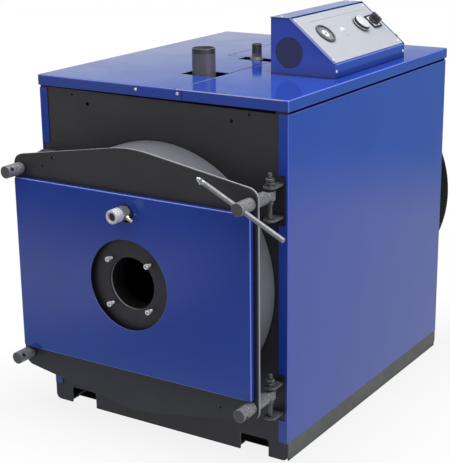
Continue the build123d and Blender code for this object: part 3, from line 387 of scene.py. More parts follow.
MATERIAL_OF_SLOT = {
    "casing_blue": BLUE,
    "plate_black": BLACK,
    "vessel_grey": GREY,
    "rail_grey": RAIL,
    "hammered_grey": HAMMERED,
    "bright_steel": ZINC,
    "bare_steel": STEEL,
    "silver_face": SILVER,
    "black_plastic": PLASTIC,
    "pale_plastic": PALE,
    "brass": BRASS,
    "glass": GLASS,
    "refractory": REFRACTORY,
    "rope": ROPE,
}

MATERIAL_OF_NODE = {
    "blanking_cap": NAVY_HOLE_SHADE,
    "tommy_bar": BAR,
    "tube_nuts_left": NUTS,
    "tube_nuts_right": NUTS,
    "sight_tube": SATIN_ZINC,
    "door_plate": DOOR_BLACK,
    "door_cover": COVER,
    "selector_knob": KNOB,
    "top_cover_left": LID,
    "top_cover_center": LID,
    "top_cover_right": LID_RIGHT,
    "flow_pipe": PIPE,
    "return_pipe": PIPE,
    "safety_pipe": PIPE,
    "rear_smokebox": REAR_BLACK,
    "flue_outlet": REAR_BLACK,
    "hinge_ears_right": DARK_HAMMERED,
    "hinge_ears_left": DARK_HAMMERED,
    "burner_sleeve": SOOT,
    "furnace_tube": SOOT,
    "lid_strap": BLUE,
}

for part in frame["record"]["subparts"]:
    node = NODES[part["node"]]
    node.data.materials.clear()
    node.data.materials.append(MATERIAL_OF_NODE.get(part["node"], MATERIAL_OF_SLOT[part["material_slot"]]))


# Small pieces: fasteners, threads, dials and welds
def ring_of(bm, radius, z, segments):
    """A ring of points round Z, or one point on the axis."""
    if radius < 1e-6:
        return [bm.verts.new((0, 0, z))]
    step = 2 * math.pi / segments
    return [bm.verts.new((radius * math.cos(i * step), radius * math.sin(i * step), z))
            for i in range(segments)]


def join_rings(bm, a, b):
    """Faces between two rings; either may be one point."""
    count = max(len(a), len(b))
    for i in range(count):
        j = (i + 1) % count
        corners = [a[i % len(a)], b[i % len(b)], b[j % len(b)], a[j % len(a)]]
        kept = []
        for corner in corners:
            if corner not in kept:
                kept.append(corner)
        if len(kept) > 2:
            bm.faces.new(kept)


def turned(points, segments=48):
    """A form turned round Z, from the radius and height of each point."""
    bm = bmesh.new()
    rings = [ring_of(bm, radius, z, segments) for radius, z in points]
    for a, b in zip(rings, rings[1:]):
        join_rings(bm, a, b)
    bmesh.ops.recalc_face_normals(bm, faces=bm.faces)
    return bm


def thread(root, crest, z0, z1, pitch, segments=64):
    """A screw thread round Z that runs out at both ends."""
    bm = bmesh.new()
    rows = max(8, int((z1 - z0) / pitch * 8))
    rings = []
    for k in range(rows + 1):
        z = z0 + (z1 - z0) * k / rows
        fade = min(1.0, (z - z0) / pitch, (z1 - z) / pitch)
        ring = []
        for i in range(segments):
            turn = i / segments
            phase = (z / pitch - turn) % 1.0
            height = 1 - abs(2 * phase - 1)
            radius = root + (crest - root) * fade * min(1.0, 1.25 * height)
            angle = 2 * math.pi * turn
            ring.append(bm.verts.new((radius * math.cos(angle), radius * math.sin(angle), z)))
        rings.append(ring)
    for a, b in zip(rings, rings[1:]):
        join_rings(bm, a, b)
    bmesh.ops.recalc_face_normals(bm, faces=bm.faces)
    return bm


def ribbed(points, ribs, depth):
    """A turned form whose radius rises and falls in ribs; each point has radius, height and rib share."""
    bm = bmesh.new()
    segments = ribs * 6
    rings = []
    for radius, z, share in points:
        ring = []
        for i in range(segments):
            angle = 2 * math.pi * i / segments
            r = radius - depth * share * (0.5 - 0.5 * math.cos(ribs * angle))
            ring.append(bm.verts.new((r * math.cos(angle), r * math.sin(angle), z)))
        rings.append(ring)
    for a, b in zip(rings, rings[1:]):
        join_rings(bm, a, b)
    bm.faces.new(rings[0])
    bm.faces.new(rings[-1])
    bmesh.ops.recalc_face_normals(bm, faces=bm.faces)
    return bm


def frame_of(width, height, hole_width, hole_height, thickness, corner):
    """A flat rectangular frame with rounded corners, from z 0 up to its thickness."""
    bm = bmesh.new()

    def outline(w, h, radius, z):
        ring = []
        for k in range(4):
            cx = (w / 2 - radius) * (1, -1, -1, 1)[k]
            cy = (h / 2 - radius) * (1, 1, -1, -1)[k]
            for i in range(5):
                angle = math.pi / 2 * (k + i / 4)
                ring.append(bm.verts.new((cx + radius * math.cos(angle), cy + radius * math.sin(angle), z)))
        return ring

    edge = 0.0004
    rings = [outline(hole_width, hole_height, corner * 0.6, 0), outline(width, height, corner, 0),
             outline(width, height, corner, thickness - edge),
             outline(width - 2 * edge, height - 2 * edge, corner, thickness),
             outline(hole_width + 2 * edge, hole_height + 2 * edge, corner * 0.6, thickness),
             outline(hole_width, hole_height, corner * 0.6, thickness - edge)]
    for a, b in zip(rings, rings[1:] + rings[:1]):
        join_rings(bm, a, b)
    bmesh.ops.recalc_face_normals(bm, faces=bm.faces)
    return bm


def plate(outline, thickness):
    """A flat plate of any outline, from z 0 up to its thickness."""
    bm = bmesh.new()
    low = [bm.verts.new((x, y, 0)) for x, y in outline]
    high = [bm.verts.new((x, y, thickness)) for x, y in outline]
    join_rings(bm, low, high)
    bm.faces.new(low)
    bm.faces.new(high)
    bmesh.ops.recalc_face_normals(bm, faces=bm.faces)
    return bm


def bead(path, radius):
    """A weld bead along a path of points, with the ripples a welder leaves."""
    bm = bmesh.new()
    rings = []
    ripple = 0.0025
    run = 0.0
    for k, point in enumerate(path):
        point = Vector(point)
        before = Vector(path[max(0, k - 1)])
        after = Vector(path[min(len(path) - 1, k + 1)])
        along = (after - before).normalized()
        if k:
            run += (point - before).length
        side = along.orthogonal().normalized()
        other = along.cross(side)
        r = radius * (1 + 0.16 * math.sin(2 * math.pi * run / ripple))
        if k in (0, len(path) - 1):
            r *= 0.4
        rings.append([bm.verts.new(point + r * (math.cos(a) * side + math.sin(a) * other))
                      for a in [2 * math.pi * i / 10 for i in range(10)]])
    for a, b in zip(rings, rings[1:]):
        join_rings(bm, a, b)
    bmesh.ops.recalc_face_normals(bm, faces=bm.faces)
    return bm


def made(bm, name):
    """A mesh from a bmesh, smooth across shallow angles only."""
    mesh = bpy.data.meshes.new(name)
    bm.to_mesh(mesh)
    bm.free()
    mesh.shade_smooth()
    mesh.set_sharp_from_angle(angle=SMOOTH_ANGLE)
    return mesh


def carved(bm, tool, name):
    """A form with another one cut out of it."""
    objects = []
    for source in (bm, tool):
        obj = bpy.data.objects.new(name, made(source, name))
        bpy.context.scene.collection.objects.link(obj)
        objects.append(obj)
    cut = objects[0].modifiers.new("cut", "BOOLEAN")
    cut.operation = "DIFFERENCE"
    cut.solver = "EXACT"
    cut.object = objects[1]
    bpy.context.view_layer.update()
    mesh = bpy.data.meshes.new_from_object(objects[0].evaluated_get(bpy.context.evaluated_depsgraph_get()))
    for obj in objects:
        bpy.data.objects.remove(obj)
    mesh.shade_smooth()
    mesh.set_sharp_from_angle(angle=SMOOTH_ANGLE)
    return mesh


def put(name, mesh, material, body, place=None):
    """Adds a piece to the scene, on its body."""
    if not isinstance(mesh, bpy.types.Mesh):
        mesh = made(mesh, name)
    obj = bpy.data.objects.new(name, mesh)
    bpy.context.scene.collection.objects.link(obj)
    if place is not None:
        obj.matrix_world = place
    if not mesh.materials:
        mesh.materials.append(material)
    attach(obj, body)
    return obj


def facing(place, outward, turn=0.0):
    """A place whose Z points outward."""
    rotation = Vector(outward).to_track_quat("Z", "Y").to_matrix().to_4x4()
    return Matrix.Translation(Vector(place)) @ rotation @ Matrix.Rotation(turn, 4, "Z")


def cross_head(radius, height, depth):
    """A domed screw head with a cross recess."""
    dome = turned([(0, height), (radius * 0.45, height * 0.95), (radius * 0.8, height * 0.68),
                   (radius, height * 0.22), (radius, 0), (0, 0)], 32)
    arm = radius * 0.52
    half = radius * 0.12
    outline = [(arm, -half), (arm, half), (half, half), (half, arm), (-half, arm), (-half, half),
               (-arm, half), (-arm, -half), (-half, -half), (-half, -arm), (half, -arm), (half, -half)]
    tool = plate(outline, height * 2)
    bmesh.ops.translate(tool, verts=tool.verts, vec=(0, 0, height - depth))
    return carved(dome, tool, "cross_head")


def socket_screw(radius, height, socket, shank, length, pitch):
    """A cap screw: chamfered head with a hexagon socket, on a threaded shank; its foot is at z 0."""
    top = length + height
    edge = 0.0007
    head = turned([(0, length), (radius, length), (radius, top - edge), (radius - edge, top), (0, top)], 40)
    corners = [math.pi / 3 * i for i in range(6)]
    hexagon = [(socket * math.cos(angle), socket * math.sin(angle)) for angle in corners]
    tool = plate(hexagon, height)
    bmesh.ops.translate(tool, verts=tool.verts, vec=(0, 0, top - height * 0.6))
    mesh = carved(head, tool, "socket_screw")
    both = bmesh.new()
    both.from_mesh(mesh)
    screw = thread(shank * 0.86, shank, 0, length + 0.0005, pitch, 32)
    extra = made(screw, "shank")
    both.from_mesh(extra)
    return both


# Control panel: its slope runs up from the lip, measured along the box, up the slope and out from it
BOX_X0 = 0.148
BOX_X1 = 0.3305
BOX_Y0 = 0.275
BOX_LENGTH = 0.4035
BOX_TOP_Z = 1.0465
LIP_Z = 0.942
SLOPE_RUN = 0.129
SLOPE_RISE = 0.1045
SLOPE = math.hypot(SLOPE_RUN, SLOPE_RISE)
FACE_OUT = -0.001
INSTRUMENT_UP = 0.094
GAUGE_ALONG = 0.086
LAMP_ALONG = 0.1825
THERMOSTAT_ALONG = 0.282
SELECTOR_ALONG = 0.3565
SCALE_START = math.radians(-135)
SCALE_SWEEP = math.radians(270)
TOP_SCREW_X = 0.168


def on_slope(along, up, out=FACE_OUT):
    """A place on the instrument plate, with X to a reader's right, Y up the slope and Z outward."""
    x = BOX_X1 - up * SLOPE_RUN / SLOPE + out * SLOPE_RISE / SLOPE
    z = LIP_Z + up * SLOPE_RISE / SLOPE + out * SLOPE_RUN / SLOPE
    right = Vector((0, 1, 0))
    upward = Vector((-SLOPE_RUN / SLOPE, 0, SLOPE_RISE / SLOPE))
    axes = Matrix((right, upward, right.cross(upward))).transposed().to_4x4()
    return Matrix.Translation((x, BOX_Y0 + along, z)) @ axes


def panel_screws():
    head = cross_head(0.0042, 0.0022, 0.0011)
    places = [facing((BOX_X1, BOX_Y0 + along, 0.9215), (1, 0, 0), turn)
              for along, turn in ((0.0105, 0.4), (0.3955, 1.0))]
    places += [facing((TOP_SCREW_X, BOX_Y0 + along, BOX_TOP_Z), (0, 0, 1), turn)
               for along, turn in ((0.020, 0.2), (0.393, 0.7))]
    places += [facing((TOP_SCREW_X, BOX_Y0 + BOX_LENGTH, z), (0, 1, 0), 0.3) for z in (0.925, 1.02)]
    for k, place in enumerate(places):
        put(f"panel_screw_{k + 1}", head, WHITE_ZINC, "boiler", place)
    small = cross_head(0.0034, 0.0014, 0.0008)
    for k, (along, up) in enumerate(((0.014, 0.0145), (0.390, 0.0145), (0.014, 0.1535), (0.390, 0.1535))):
        turn = Matrix.Rotation(0.5 * k, 4, "Z")
        put(f"face_screw_{k + 1}", small, WHITE_ZINC, "boiler", on_slope(along, up) @ turn)


def panel_edges():
    """Painted highlights on the rim and fold and painted shade in the joints between them, as thin strips
    along the near end of the slope.
    """
    strips = (("rim", -0.0012, 0.0024, 0.0005, SEAM_HIGHLIGHT), ("joint", 0.0018, 0.0034, 0.0002, GAP_SHADE),
              ("fold", 0.0052, 0.0032, 0.0002, SEAM_HIGHLIGHT), ("gap", 0.0081, 0.0024, 0.0002, GAP_SHADE))
    for word, along, width, thickness, material in strips:
        strip = plate(bar_outline(-width / 2, width / 2, -SLOPE / 2, SLOPE / 2 - 0.001), thickness)
        put(f"panel_{word}", strip, material, "boiler", on_slope(along, SLOPE / 2, 0.0001))


def panel_lid():
    """The lid sheet that laps over both ends of the control box."""
    width = 0.0530
    thick = 0.0012
    edge = 0.0008
    bevel = 0.0004
    overhang = 0.0022
    outline = [(0.0, -edge), (0.0, thick - bevel), (bevel, thick), (width - bevel, thick),
               (width, thick - bevel), (width, -edge)]
    bm = bmesh.new()
    rings = []
    for y in (-overhang, BOX_LENGTH + overhang):
        rings.append([bm.verts.new((x - 0.0012, y, z)) for x, z in outline])
    for i in range(len(outline) - 1):
        bm.faces.new((rings[0][i], rings[0][i + 1], rings[1][i + 1], rings[1][i]))
    for ring in rings:
        bm.faces.new(ring)
    bm.faces.new((rings[0][0], rings[0][-1], rings[1][-1], rings[1][0]))
    bmesh.ops.recalc_face_normals(bm, faces=bm.faces)
    put("panel_lid", bm, BOX_LID, "boiler", Matrix.Translation((BOX_X0, BOX_Y0, BOX_TOP_Z)))


def bar_outline(x0, x1, y0, y1):
    return [(x0, y0), (x1, y0), (x1, y1), (x0, y1)]


def ray_outline(angle, inner, outer, half):
    """A short radial mark, clockwise from the top by an angle."""
    along = Vector((math.sin(angle), math.cos(angle)))
    side = Vector((along.y, -along.x)) * half
    corners = [along * inner - side, along * outer - side, along * outer + side, along * inner + side]
    return [(c.x, c.y) for c in corners][::-1]


def number(name, text, size, place, x, y):
    """A number printed on a dial."""
    curve = bpy.data.curves.new(name, "FONT")
    curve.body = text
    curve.size = size
    curve.align_x = "CENTER"
    curve.align_y = "CENTER"
    obj = bpy.data.objects.new(name, curve)
    bpy.context.scene.collection.objects.link(obj)
    bpy.context.view_layer.update()
    mesh = bpy.data.meshes.new_from_object(obj.evaluated_get(bpy.context.evaluated_depsgraph_get()))
    bpy.data.objects.remove(obj)
    put(name, mesh, PLASTIC, "boiler", place @ Matrix.Translation((x, y, 0.00005)))


def gauge_dial():
    """Thermometer face: a grey ring with marks and numbers round a white middle, a needle and a bezel."""
    place = on_slope(GAUGE_ALONG, INSTRUMENT_UP, FACE_OUT + 0.0025)
    for word, radius, height, material, lift in (("dial", 0.0238, 0.0002, DIAL, 0),
                                                 ("middle", 0.0118, 0.0003, PALE, 0.0001)):
        disc = turned([(0, height), (radius, height), (radius, 0)], 64)
        put(f"gauge_{word}", disc, material, "boiler",
            place @ Matrix.Translation((0, 0, lift)))
    bezel = [(0.0242, 0.0022), (0.0246, 0.0034), (0.0262, 0.0038), (0.0282, 0.0034), (0.0296, 0.0020),
             (0.0302, 0.0)]
    put("gauge_bezel", turned(bezel, 96), BEZEL, "boiler", place)
    marks = bmesh.new()
    for k in range(31):
        angle = SCALE_START + SCALE_SWEEP * k / 30
        inner = 0.0190 if k % 5 == 0 else 0.0208
        half = 0.00042 if k % 5 == 0 else 0.00022
        corners = [marks.verts.new((x, y, 0.00035)) for x, y in ray_outline(angle, inner, 0.0228, half)]
        marks.faces.new(corners[::-1])
    put("gauge_marks", marks, PLASTIC, "boiler", place)
    for k in range(7):
        angle = SCALE_START + SCALE_SWEEP * k / 6
        number(f"gauge_number_{k + 1}", str(20 * k), 0.0048, place @ Matrix.Translation((0, 0, 0.0003)),
               0.0156 * math.sin(angle), 0.0156 * math.cos(angle))
    angle = math.radians(-112)
    needle = ray_outline(angle, -0.006, 0.0185, 0.00055)
    put("gauge_needle", plate(needle, 0.0003), PLASTIC, "boiler",
        place @ Matrix.Translation((0, 0, 0.0009)))
    hub = [(0, 0.0018), (0.0016, 0.0017), (0.0021, 0.0010), (0.0021, 0.0003)]
    put("gauge_hub", turned(hub, 24), PLASTIC, "boiler", place)


def lamp_rim():
    place = on_slope(LAMP_ALONG, INSTRUMENT_UP)
    rim = [(0.0056, 0.0016), (0.0060, 0.0021), (0.0068, 0.0020), (0.0074, 0.0012), (0.0075, 0.0)]
    put("lamp_rim", turned(rim, 40), WHITE_ZINC, "boiler", place)


def thermostat_dial():
    """Stepped thermostat knob with a ribbed grip and a wide silver cap, and the marks printed round it."""
    place = on_slope(THERMOSTAT_ALONG, INSTRUMENT_UP, FACE_OUT + 0.0003)
    skirt = [(0, 0.0002), (0.0250, 0.0002), (0.0252, 0.0010), (0.0252, 0.0036), (0.0244, 0.0044), (0, 0.0046)]
    piece = put("thermostat_skirt", turned(skirt, 72), PLASTIC, "thermostat_knob", place)
    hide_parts("thermostat_knob")
    grip = [(0.0228, 0.0044, 0), (0.0238, 0.0052, 1), (0.0236, 0.0108, 1), (0.0226, 0.0122, 0.4)]
    put("thermostat_grip", ribbed(grip, 36, 0.0010), PLASTIC, "thermostat_knob", place)
    cap = [(0, 0.0142), (0.0206, 0.0142), (0.0216, 0.0137), (0.0220, 0.0126), (0.0220, 0.0118)]
    put("thermostat_cap", turned(cap, 72), CAP, "thermostat_knob", place)
    ring = [(0.0240, 0.0044), (0.0250, 0.0046), (0.0250, 0.0056), (0.0240, 0.0058)]
    put("thermostat_ring", turned(ring, 72), CAP, "thermostat_knob", place)
    pointer = bar_outline(-0.0006, 0.0006, 0.0115, 0.0200)
    put("thermostat_pointer", plate(pointer, 0.0001), PLASTIC, "thermostat_knob",
        place @ Matrix.Translation((0, 0, 0.01422)))
    marks = bmesh.new()
    for k in range(13):
        angle = SCALE_START + SCALE_SWEEP * k / 12
        outer = 0.0305 if k % 2 else 0.0318
        corners = [marks.verts.new((x, y, 0.00005)) for x, y in ray_outline(angle, 0.0272, outer, 0.0003)]
        marks.faces.new(corners[::-1])
    put("thermostat_marks", marks, INK, "boiler", on_slope(THERMOSTAT_ALONG, INSTRUMENT_UP))


def selector_trim():
    """Black frame of the selector's plate, and the ribs and white pointer on its handle."""
    place = on_slope(SELECTOR_ALONG, INSTRUMENT_UP)
    put("selector_frame", frame_of(0.0452, 0.0452, 0.0352, 0.0352, 0.0040, 0.0032), PLASTIC, "boiler",
        place)
    seat = on_slope(SELECTOR_ALONG, INSTRUMENT_UP, FACE_OUT + 0.0033)
    skirt = [(0.0150, 0.0002, 0), (0.0156, 0.0008, 1), (0.0155, 0.0064, 1), (0.0148, 0.0072, 0.3)]
    put("selector_skirt", ribbed(skirt, 30, 0.0008), KNOB, "selector_knob", seat)
    for word, across in (("left", -0.00502), ("right", 0.00502)):
        for k in range(6):
            rib = turned([(0, 0.0186), (0.0006, 0.0184), (0.0009, 0.0176), (0.0009, 0.0074)], 12)
            put(f"selector_rib_{word}_{k + 1}", rib, KNOB, "selector_knob",
                seat @ Matrix.Translation((-0.0105 + 0.0042 * k, across, 0)))
    put("selector_pointer", plate(bar_outline(0.002, 0.0138, -0.0007, 0.0007), 0.0001), PALE, "selector_knob",
        seat @ Matrix.Translation((0, 0, 0.02002)))


def panel_lines():
    """Thin printed lines, near the top of the instrument plate and below the lamp."""
    for word, x0, x1, place in (("long", -0.135, 0.17, on_slope(0.202, 0.141)),
                                ("short", -0.008, 0.008, on_slope(LAMP_ALONG, 0.073))):
        line = plate(bar_outline(x0, x1, -0.0004, 0.0004), 0.00006)
        put(f"panel_line_{word}", line, INK, "boiler", place)


# Lid, pipes and casing
def strap_screws():
    head = cross_head(0.0042, 0.0024, 0.0012)
    for k, x in enumerate((-0.058, 0.0655)):
        place = facing((x, STRAP_FRONT_Y, STRAP_SCREW_Z), (0, -1, 0), 0.3 + 0.5 * k)
        put(f"strap_screw_{k + 1}", head, WHITE_ZINC, "boiler", place)
    # A thin dark disc of painted shade where the strap has a hole
    hole_shade = turned([(0, 0.0001), (0.0019, 0.0001), (0.0022, 0)], 20)
    place = facing((-0.0035, STRAP_FRONT_Y, STRAP_SCREW_Z), (0, -1, 0))
    put("strap_hole", hole_shade, SOOT, "boiler", place)


def lid_seams():
    """Joints between the lid sheets: a strip of painted shade over the gap beside a strip of painted
    highlight on the edge.
    """
    for name, x, y0, y1, gap in (("front", SEAM_X, LID_FRONT_Y + 0.0005, FLOW_Y - 0.035, 0.0011),
                                 ("middle", SEAM_X, FLOW_Y + 0.036, SAFETY_Y - 0.020, 0.0034),
                                 ("rear", SEAM_X, SAFETY_Y + 0.020, LID_BACK_Y, 0.0026),
                                 ("left", LEFT_SEAM_X, SAFETY_Y + 0.020, LID_BACK_Y, 0.0016)):
        middle = Matrix.Translation((x, (y0 + y1) / 2, LID_Z))
        half = (y1 - y0) / 2
        put(f"lid_seam_shade_{name}", plate(bar_outline(-gap, 0.0009, -half, half), 0.0001), GAP_SHADE, "boiler",
            middle)
        put(f"lid_seam_highlight_{name}", plate(bar_outline(0.0009, 0.0028, -half, half), 0.00015), SEAM_HIGHLIGHT, "boiler",
            middle)


def lid_front_highlight():
    """Painted highlight on the right-hand lid sheet, along its front bend."""
    place = facing((0.2085, LID_FRONT_Y, LID_Z - 0.0012), (0, -1, 0))
    line = plate(bar_outline(-0.1495, 0.1495, -0.0011, 0.0011), 0.0001)
    put("lid_front_highlight", line, BEND_HIGHLIGHT, "boiler", place)


def flange_shadow():
    """Dark strip of painted shadow between the front plate and the lid's flange above it, wider towards the
    right.
    """
    place = facing((0.0, FRONT_Y + 0.002, LID_FLANGE_Z), (0, -1, 0))
    outline = [(-0.352, -0.0026), (0.336, -0.0074), (0.336, 0.0), (-0.352, 0.0)]
    put("flange_shadow", plate(outline, 0.0006), GAP_SHADE, "boiler", place)


def rear_screws():
    """Screws along the folded edges of the rear."""
    head = cross_head(0.0048, 0.0026, 0.0013)
    for word, x in (("left", -REAR_FOLD_X), ("right", REAR_FOLD_X)):
        for k, z in enumerate((0.12, 0.32, 0.55, 0.78)):
            place = facing((x, REAR_FOLD_Y, z), (0, 1, 0), 0.4 * k)
            put(f"rear_screw_{word}_{k + 1}", head, WHITE_ZINC, "boiler", place)


def pipe_threads():
    """Threads at the tops of the three pipes."""
    wide = (0.0296, 0.03025, 0.9555, 0.9702, 0.00231, 96)
    thin = (0.0128, 0.01355, 0.9190, 0.9466, 0.00181, 64)
    for word, y, sizes in (("flow", FLOW_Y, wide), ("return", RETURN_Y, wide), ("safety", SAFETY_Y, thin)):
        place = Matrix.Translation((0, y, 0))
        put(f"{word}_thread", thread(*sizes), THREAD, "boiler", place)


def circle(radius, y, z, count):
    """Points of a closed ring round Y."""
    points = [(radius * math.cos(2 * math.pi * k / count), y, z + radius * math.sin(2 * math.pi * k / count))
              for k in range(count)]
    return points + points[:1]


def flue_weld():
    put("flue_weld", bead(circle(0.1030, 1.0335, DRUM_Z, 480), 0.0022), REAR_BLACK, "boiler")


# Door
def burner_screws():
    screw = made(socket_screw(0.0065, 0.0080, 0.0032, 0.0040, 0.0125, 0.00125), "burner_screw")
    reach = BURNER_BOLT_RADIUS / math.sqrt(2)
    for k, (sx, sz) in enumerate(((1, 1), (-1, 1), (-1, -1), (1, -1))):
        place = facing((sx * reach, DOOR_FRONT_Y, DRUM_Z + sz * reach), (0, -1, 0), 0.35 * k)
        put(f"burner_screw_{k + 1}", screw, WHITE_ZINC, "door", place)


def sight_pieces():
    """Neck with its hexagon, knurled cap nut and chamfered retaining ring of the flame sight glass."""
    place = facing((0, DOOR_FRONT_Y, SIGHT_Z), (0, -1, 0))
    neck = turned([(0.0090, 0), (0.0140, 0), (0.0140, 0.0445), (0.0090, 0.0445)], 48)
    piece = put("sight_neck", neck, HAMMERED, "door", place)
    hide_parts("sight_tube")
    hexagon = [(0.0141, 0.0165), (0.0172, 0.0167), (0.0178, 0.0176), (0.0178, 0.0420), (0.0170, 0.0430),
               (0.0141, 0.0432)]
    put("sight_hexagon", turned(hexagon, 6), HAMMERED, "door", place)
    nut = [(0.0168, 0.0440, 0.3), (0.0176, 0.0448, 1), (0.0176, 0.0596, 1), (0.0168, 0.0604, 0.3)]
    put("sight_cap_nut", ribbed(nut, 32, 0.0006), SATIN_ZINC, "door", place)
    ring = [(0.0102, 0.0600), (0.0102, 0.0690), (0.0112, 0.0704), (0.0158, 0.0704), (0.0172, 0.0692),
            (0.0176, 0.0680), (0.0176, 0.0622), (0.0170, 0.0612), (0.0160, 0.0606)]
    put("sight_retainer", turned(ring, 64), SATIN_ZINC, "door", place)


def bar_tip():
    """Threaded bright tip with a nut, at the upper end of the clamping bar."""
    along = Vector((-math.cos(BAR_SLOPE), 0, math.sin(BAR_SLOPE)))
    middle = Vector((HINGE_X, BAR_Y, HINGE_LEVELS[1]))
    place = facing(middle + along * 0.104, along)
    nut = [(0.0061, 0.0060), (0.0080, 0.0060), (0.0087, 0.0066), (0.0087, 0.0102), (0.0080, 0.0108),
           (0.0061, 0.0108)]
    end = [(0, 0.0222), (0.0026, 0.0222), (0.0032, 0.0216), (0.0032, 0.0180)]
    for word, form in (("thread", thread(0.0060, 0.0064, 0.0, 0.0172, 0.0016, 40)), ("nut", turned(nut, 6)),
                       ("end", turned(end, 24))):
        put(f"bar_tip_{word}", form, ZINC, "door", place)


def gathered(parts):
    """Several forms, each with its place, as one."""
    whole = bmesh.new()
    for bm, place in parts:
        bm.transform(place)
        mesh = bpy.data.meshes.new("part")
        bm.to_mesh(mesh)
        bm.free()
        whole.from_mesh(mesh)
        bpy.data.meshes.remove(mesh)
    return whole


def hinge_nut(height):
    """A hexagon nut chamfered at both ends."""
    chamfer = 0.0010
    return turned([(0, 0), (0.0098, 0), (0.0108, chamfer), (0.0108, height - chamfer), (0.0098, height),
                   (0, height)], 6)


def hinge_pin(middle, bolted):
    """One pin with its collar and washer, and two nuts and a thread where it is bolted."""
    top = [(0.0054, 0.0400), (0, 0.0400)] if bolted else [(0.0054, 0.0290), (0, 0.0295)]
    pin = [(0, -0.0640), (0.0046, -0.0640), (0.0054, -0.0632), (0.0054, -0.0223), (0.0082, -0.0218),
           (0.0082, -0.0118), (0.0054, -0.0113), (0.0054, 0.0220), (0.0125, 0.0221), (0.0125, 0.0242),
           (0.0054, 0.0244)]
    parts = [(turned(pin + top, 40), middle)]
    if bolted:
        for height, turn in ((0.0250, 0.0), (0.0336, 0.35)):
            place = middle @ Matrix.Translation((0, 0, height)) @ Matrix.Rotation(turn, 4, "Z")
            parts.append((hinge_nut(0.0072), place))
        parts.append((thread(0.0043, 0.0056, 0.0400, 0.0540, 0.0030, 40), middle))
        parts.append((turned([(0.0044, 0.0538), (0.0036, 0.0540), (0, 0.0540)], 40), middle))
    return parts


def hinge_ear():
    """One ear with a round nose, reaching back to the front plate."""
    nose = 0.016
    reach = 0.034
    angles = [-math.pi * k / 24 for k in range(25)]
    round_end = [(nose * math.cos(angle), nose * math.sin(angle)) for angle in angles]
    return plate([(nose, reach)] + round_end + [(-nose, reach)], 0.005)


def hinge_pieces():
    """Hinge pins with their collars, washers, nuts and threads, and the ears that carry them."""
    for word, side in (("right", 1), ("left", -1)):
        pins = []
        ears = []
        for z in HINGE_LEVELS:
            middle = Matrix.Translation((side * HINGE_X, HINGE_Y, z))
            pins += hinge_pin(middle, side > 0)
            ears += [(hinge_ear(), middle @ Matrix.Translation((0, 0, low))) for low in (0.0170, -0.0620)]
        piece = put(f"hinge_pin_set_{word}", gathered(pins), DARK_HAMMERED, "boiler")
        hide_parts(f"hinge_pins_{word}")
        piece = put(f"hinge_ear_set_{word}", gathered(ears), DARK_HAMMERED, "boiler")
        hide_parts(f"hinge_ears_{word}")


def ear_welds():
    """Fillet welds between the hinge ears and the front plate."""
    for word, side in (("left", -1), ("right", 1)):
        for k, z in enumerate(HINGE_LEVELS):
            for level, height in (("upper", z + 0.022), ("lower", z - 0.057)):
                path = [(side * (0.3225 + 0.0012 * i), -0.0205, height) for i in range(31)]
                put(f"ear_weld_{word}_{level}_{k + 1}", bead(path, 0.0024), BLACK, "boiler")


panel_edges()
panel_lid()
panel_screws()
gauge_dial()
lamp_rim()
thermostat_dial()
selector_trim()
panel_lines()
strap_screws()
lid_seams()
lid_front_highlight()
flange_shadow()
rear_screws()
pipe_threads()
flue_weld()
burner_screws()
sight_pieces()
bar_tip()
hinge_pieces()
ear_welds()


